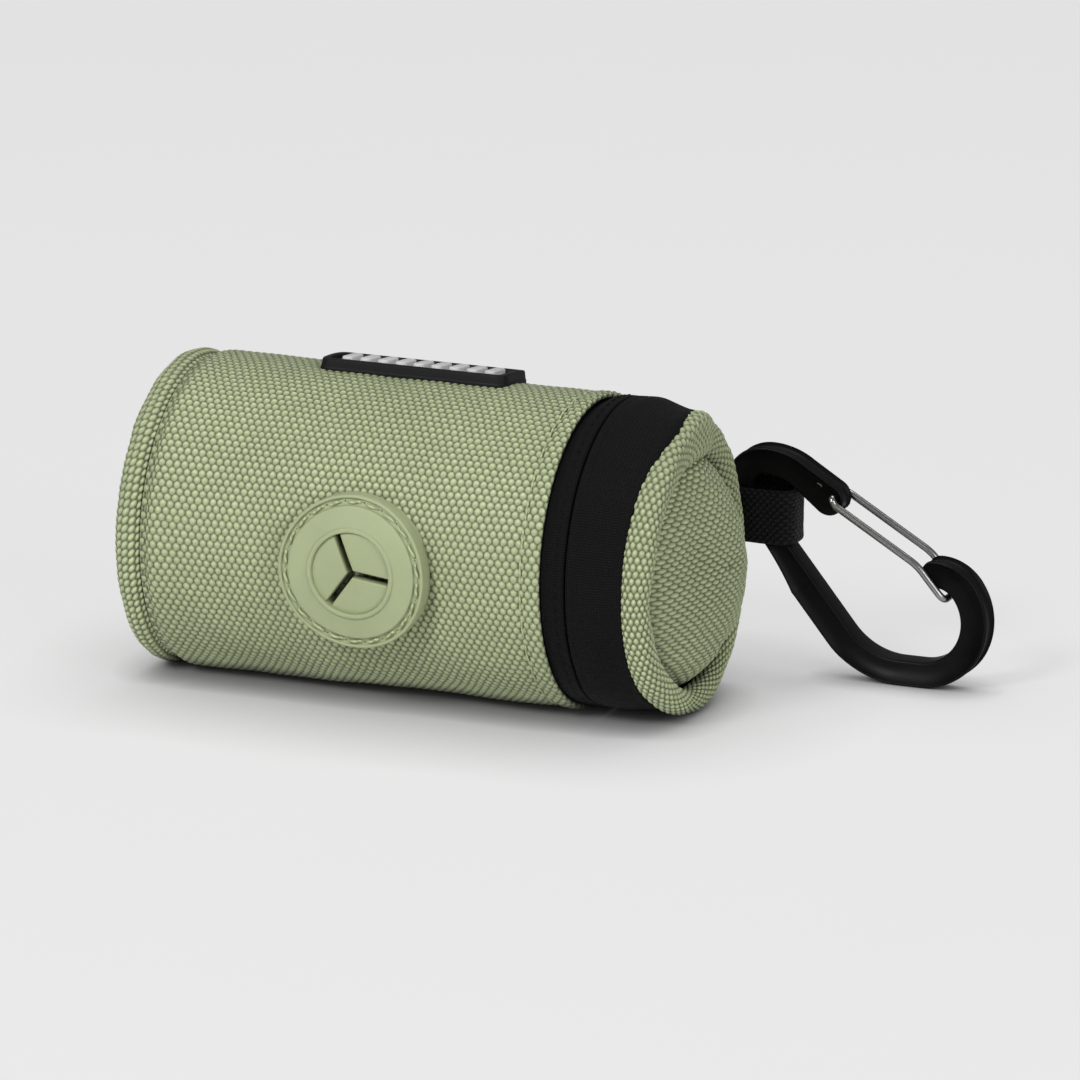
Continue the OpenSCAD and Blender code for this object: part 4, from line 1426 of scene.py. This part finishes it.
def ring_wall(name, node, body, finish_name, slot, thickness, waves, yarn, soft):
    """A soft ring inside the tube or cap, from the node it stands for: two faces joined at their ends."""
    low, high = box_mm(node)
    outer = (high[2] - low[2]) / 2 - 0.15
    around = 192
    angle = turns_of(around)
    rows = max(6, round((high[0] - low[0]) / 1.2))
    x = np.concatenate([np.linspace(low[0], high[0], rows), np.linspace(high[0], low[0], rows)])
    r = np.repeat([outer - thickness, outer], rows)
    strays = np.repeat([soft, 0], rows)[:, None] * wander(noise_points(x[:, None], outer, angle), waves, 12.0)
    grid = round_x(x[:, None], r[:, None] + strays, angle)
    if body == "cap":
        lean_back(grid, bpy.context.scene.dispenser_cap.lean)
    turns = even(FULL * outer / yarn)
    piece = sheet_piece(
        name, grid, body, finish(finish_name), slot, run_along(np.stack([x, r], -1)) / yarn,
        np.arange(around + 1) * turns / around, flip=True,
    )
    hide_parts(node)
    return piece


class DISPENSER_OT_lining(Operator):
    """Makes the lining, foam edges and binding tape inside the tube and the cap"""

    bl_idname = "dispenser.lining"
    bl_label = "Lining"

    def execute(self, context):
        ring_wall("bore_lining", "tube_lining", "tube", "lining", "lining_fabric", 0.4, 11.0, 0.55, 0.12)
        ring_wall("bore_padding", "tube_padding", "tube", "foam", "foam", 1.2, 14.0, 0.6, 0.05)
        ring_wall("end_binding", "closed_end_binding", "tube", "binding", "binding_tape", 1.4, 5.0, 0.5, 0.15)
        ring_wall("cap_lining", "cap_side_lining", "cap", "lining", "lining_fabric", 0.4, 9.0, 0.55, 0.06)
        ring_wall("cap_seam_binding", "cap_binding", "cap", "binding", "binding_tape", 1.4, 5.0, 0.5, 0.12)
        for node, name, finish_name, body, slot in (
            ("closed_end_padding", "end_padding", "foam", "tube", "foam"),
            ("closed_end_lining", "end_lining", "lining", "tube", "lining_fabric"),
            ("cap_padding", "cap_pad", "foam", "cap", "foam"),
            ("cap_end_lining", "cap_floor_lining", "lining", "cap", "lining_fabric"),
        ):
            low, high = box_mm(node)
            radius, shift, depth = (high[2] - low[2]) / 2, 0.0, 1.2
            if body == "cap":
                radius, shift, depth = (CAP_LINING_R if finish_name == "lining" else CAP_FOAM_R), CAP_DISC_SHIFT, 0.8
            start, end = low[0] + shift, min(high[0], low[0] + depth) + shift
            piece = self.disc(name, start, end, radius, body, finish_name, slot)
            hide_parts(node)
        return {"FINISHED"}

    def disc(self, name, low_x, high_x, radius, body, finish_name, slot):
        """A soft round sheet with two faces, thinner at its edge."""
        around = 96
        angle = turns_of(around)
        shares = np.linspace(0.004, 1, 18)
        share = np.concatenate([shares, [1.0], shares[::-1]])[:, None]
        side = np.repeat([1.0, 0.0, -1.0], (18, 1, 18))[:, None]
        ease = np.minimum(1.0, (1 - share) * 8)
        at = np.stack([0 * share * angle, share * radius * np.sin(angle), share * radius * np.cos(angle)], -1)
        half = (high_x - low_x) / 2
        hollow = half * (0.3 * (1 - ease) + 0.12 * np.abs(wander(at, 8.0, 14.0)) * ease)
        grid = round_x((low_x + high_x) / 2 + side * (half - hollow), share * radius, angle)
        if body == "cap":
            lean_back(grid, bpy.context.scene.dispenser_cap.lean)
        rows = len(grid)
        faces, _ = grid_faces(rows, around, closed_columns=True)
        faces += end_caps(rows, around, flip=True)
        uv = grid.reshape(-1, 3)[np.concatenate(faces), 1:] / DISC_YARN
        return new_piece(name, grid, faces, body, finish(finish_name), slot, uv)


class DISPENSER_OT_bags(Operator):
    """Makes the roll of bags on its board core"""

    bl_idname = "dispenser.bags"
    bl_label = "Bags"

    def execute(self, context):
        (low, high), (core_low, core_high) = box_mm("bag_roll"), box_mm("roll_core")
        radius, core = (high[2] - low[2]) / 2, (core_high[2] - core_low[2]) / 2
        around, wound = 128, 26
        faces_x = np.linspace(low[0] + 0.4, high[0] - 0.4, 46)
        turns = np.linspace(core + 0.15, radius - 0.35, wound)
        inset = np.where(np.arange(wound) % 2, 0.22, -0.05)
        x = np.concatenate([faces_x[0] + inset, faces_x, faces_x[-1] - inset[::-1]])[:, None]
        r = np.concatenate([turns, radius - 0.12 - 0.05 * np.sin(faces_x * 0.9), turns[::-1]])[:, None]
        angle = turns_of(around)
        wave = 0.1 * wander(noise_points(x, r, angle), 5.0, 40.0)
        reach = r + (wave - 0.12 * angle / FULL) * (r > core + 1)
        grid = round_x(x, reach, angle) + (0, 0, (high[2] + low[2]) / 2 - AXIS_Z)
        roll = sheet_piece("bags_wound", grid, "bags", finish("bag_film"), "bag_film")
        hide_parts("bag_roll")
        dress("roll_core", "core_board")
        return {"FINISHED"}


# --- Stage ----------------------------------------------------------------------------------


def area_light(name, place, aim, size, power):
    """A round soft light that points at the aim."""
    light = bpy.data.lights.new(name, "AREA")
    light.shape = "DISK"
    light.size = size
    light.energy = power
    lamp = bpy.data.objects.new(name, light)
    bpy.context.scene.collection.objects.link(lamp)
    lamp.location = place
    lamp.rotation_euler = (aim - Vector(place)).to_track_quat("-Z", "Y").to_euler()


class DISPENSER_OT_stage(Operator):
    """Sets the camera, the floor, the backdrop and the lights"""

    bl_idname = "dispenser.stage"
    bl_label = "Stage"

    def execute(self, context):
        stage = context.scene.dispenser_stage
        aim = Vector((0.0167, 0.0, 0.0255))
        a, e = stage.azimuth, stage.elevation
        back = Vector((math.sin(a) * math.cos(e), -math.cos(a) * math.cos(e), math.sin(e)))
        camera = bpy.data.cameras.new("camera")
        camera.sensor_width = 36
        camera.lens = 36 * stage.distance / stage.width
        camera.clip_start, camera.clip_end = 0.05, 20
        eye = bpy.data.objects.new("camera", camera)
        context.scene.collection.objects.link(eye)
        eye.location = aim + back * stage.distance
        eye.rotation_euler = (-back).to_track_quat("-Z", "Y").to_euler()
        context.scene.camera = eye
        context.scene.view_settings.view_transform = "Standard"

        world = bpy.data.worlds.new("studio")
        context.scene.world = world
        world.use_nodes = True
        tree = world.node_tree
        ground = tree.nodes["Background"]
        ground.inputs["Color"].default_value = (1, 1, 1, 1)
        ground.inputs["Strength"].default_value = 0.25
        shown = tree.nodes.new("ShaderNodeBackground")
        shown.inputs["Color"].default_value = (*stage.backdrop, 1)
        path = tree.nodes.new("ShaderNodeLightPath")
        mix = tree.nodes.new("ShaderNodeMixShader")
        tree.links.new(path.outputs["Is Camera Ray"], mix.inputs[0])
        tree.links.new(ground.outputs[0], mix.inputs[1])
        tree.links.new(shown.outputs[0], mix.inputs[2])
        tree.links.new(mix.outputs[0], tree.nodes["World Output"].inputs[0])

        side = 6.0
        mesh = bpy.data.meshes.new("floor")
        corners = [(-side, -side, 0), (side, -side, 0), (side, side, 0), (-side, side, 0)]
        mesh.from_pydata(corners, [], [(0, 1, 2, 3)])
        mesh.materials.append(floor_finish("floor_matte", tuple(stage.backdrop)))
        floor = bpy.data.objects.new("floor", mesh)
        context.scene.collection.objects.link(floor)

        area_light("key_light", (-0.35, -1.25, 0.95), aim, 0.4, 15)
        area_light("fill_light", (1.3, -0.8, 0.7), aim, 1.0, 9)
        area_light("top_light", (0.1, 0.5, 1.4), aim, 0.9, 4.5)
        return {"FINISHED"}


# --- Panel and main -------------------------------------------------------------------------

MAKERS = (
    DISPENSER_OT_stage,
    DISPENSER_OT_cover,
    DISPENSER_OT_topstitching,
    DISPENSER_OT_piping,
    DISPENSER_OT_zip,
    DISPENSER_OT_hinge,
    DISPENSER_OT_cap,
    DISPENSER_OT_patch,
    DISPENSER_OT_label,
    DISPENSER_OT_webbing,
    DISPENSER_OT_carabiner,
    DISPENSER_OT_gate,
    DISPENSER_OT_lining,
    DISPENSER_OT_bags,
)


class DISPENSER_PT_panel(Panel):
    """Lists the pieces and their settings"""

    bl_idname = "DISPENSER_PT_panel"
    bl_label = "Dispenser"
    bl_space_type = "VIEW_3D"
    bl_region_type = "UI"
    bl_category = "Dispenser"

    def draw(self, context):
        for maker in MAKERS:
            self.layout.operator(maker.bl_idname)
        for name, group in SETTINGS.items():
            box = self.layout.box()
            for prop in group.__annotations__:
                box.prop(getattr(context.scene, name), prop)


def register():
    for group in SETTINGS.values():
        bpy.utils.register_class(group)
    for name, group in SETTINGS.items():
        setattr(bpy.types.Scene, name, PointerProperty(type=group))
    for maker in (*MAKERS, DISPENSER_PT_panel):
        bpy.utils.register_class(maker)


def unregister():
    for maker in (DISPENSER_PT_panel, *reversed(MAKERS)):
        bpy.utils.unregister_class(maker)
    for name in SETTINGS:
        delattr(bpy.types.Scene, name)
    for group in reversed(list(SETTINGS.values())):
        bpy.utils.unregister_class(group)


def main():
    """Registers the settings and makers, then makes every piece in order."""
    register()
    for maker in MAKERS:
        group, name = maker.bl_idname.split(".")
        getattr(getattr(bpy.ops, group), name)()


if __name__ == "__main__":
    main()
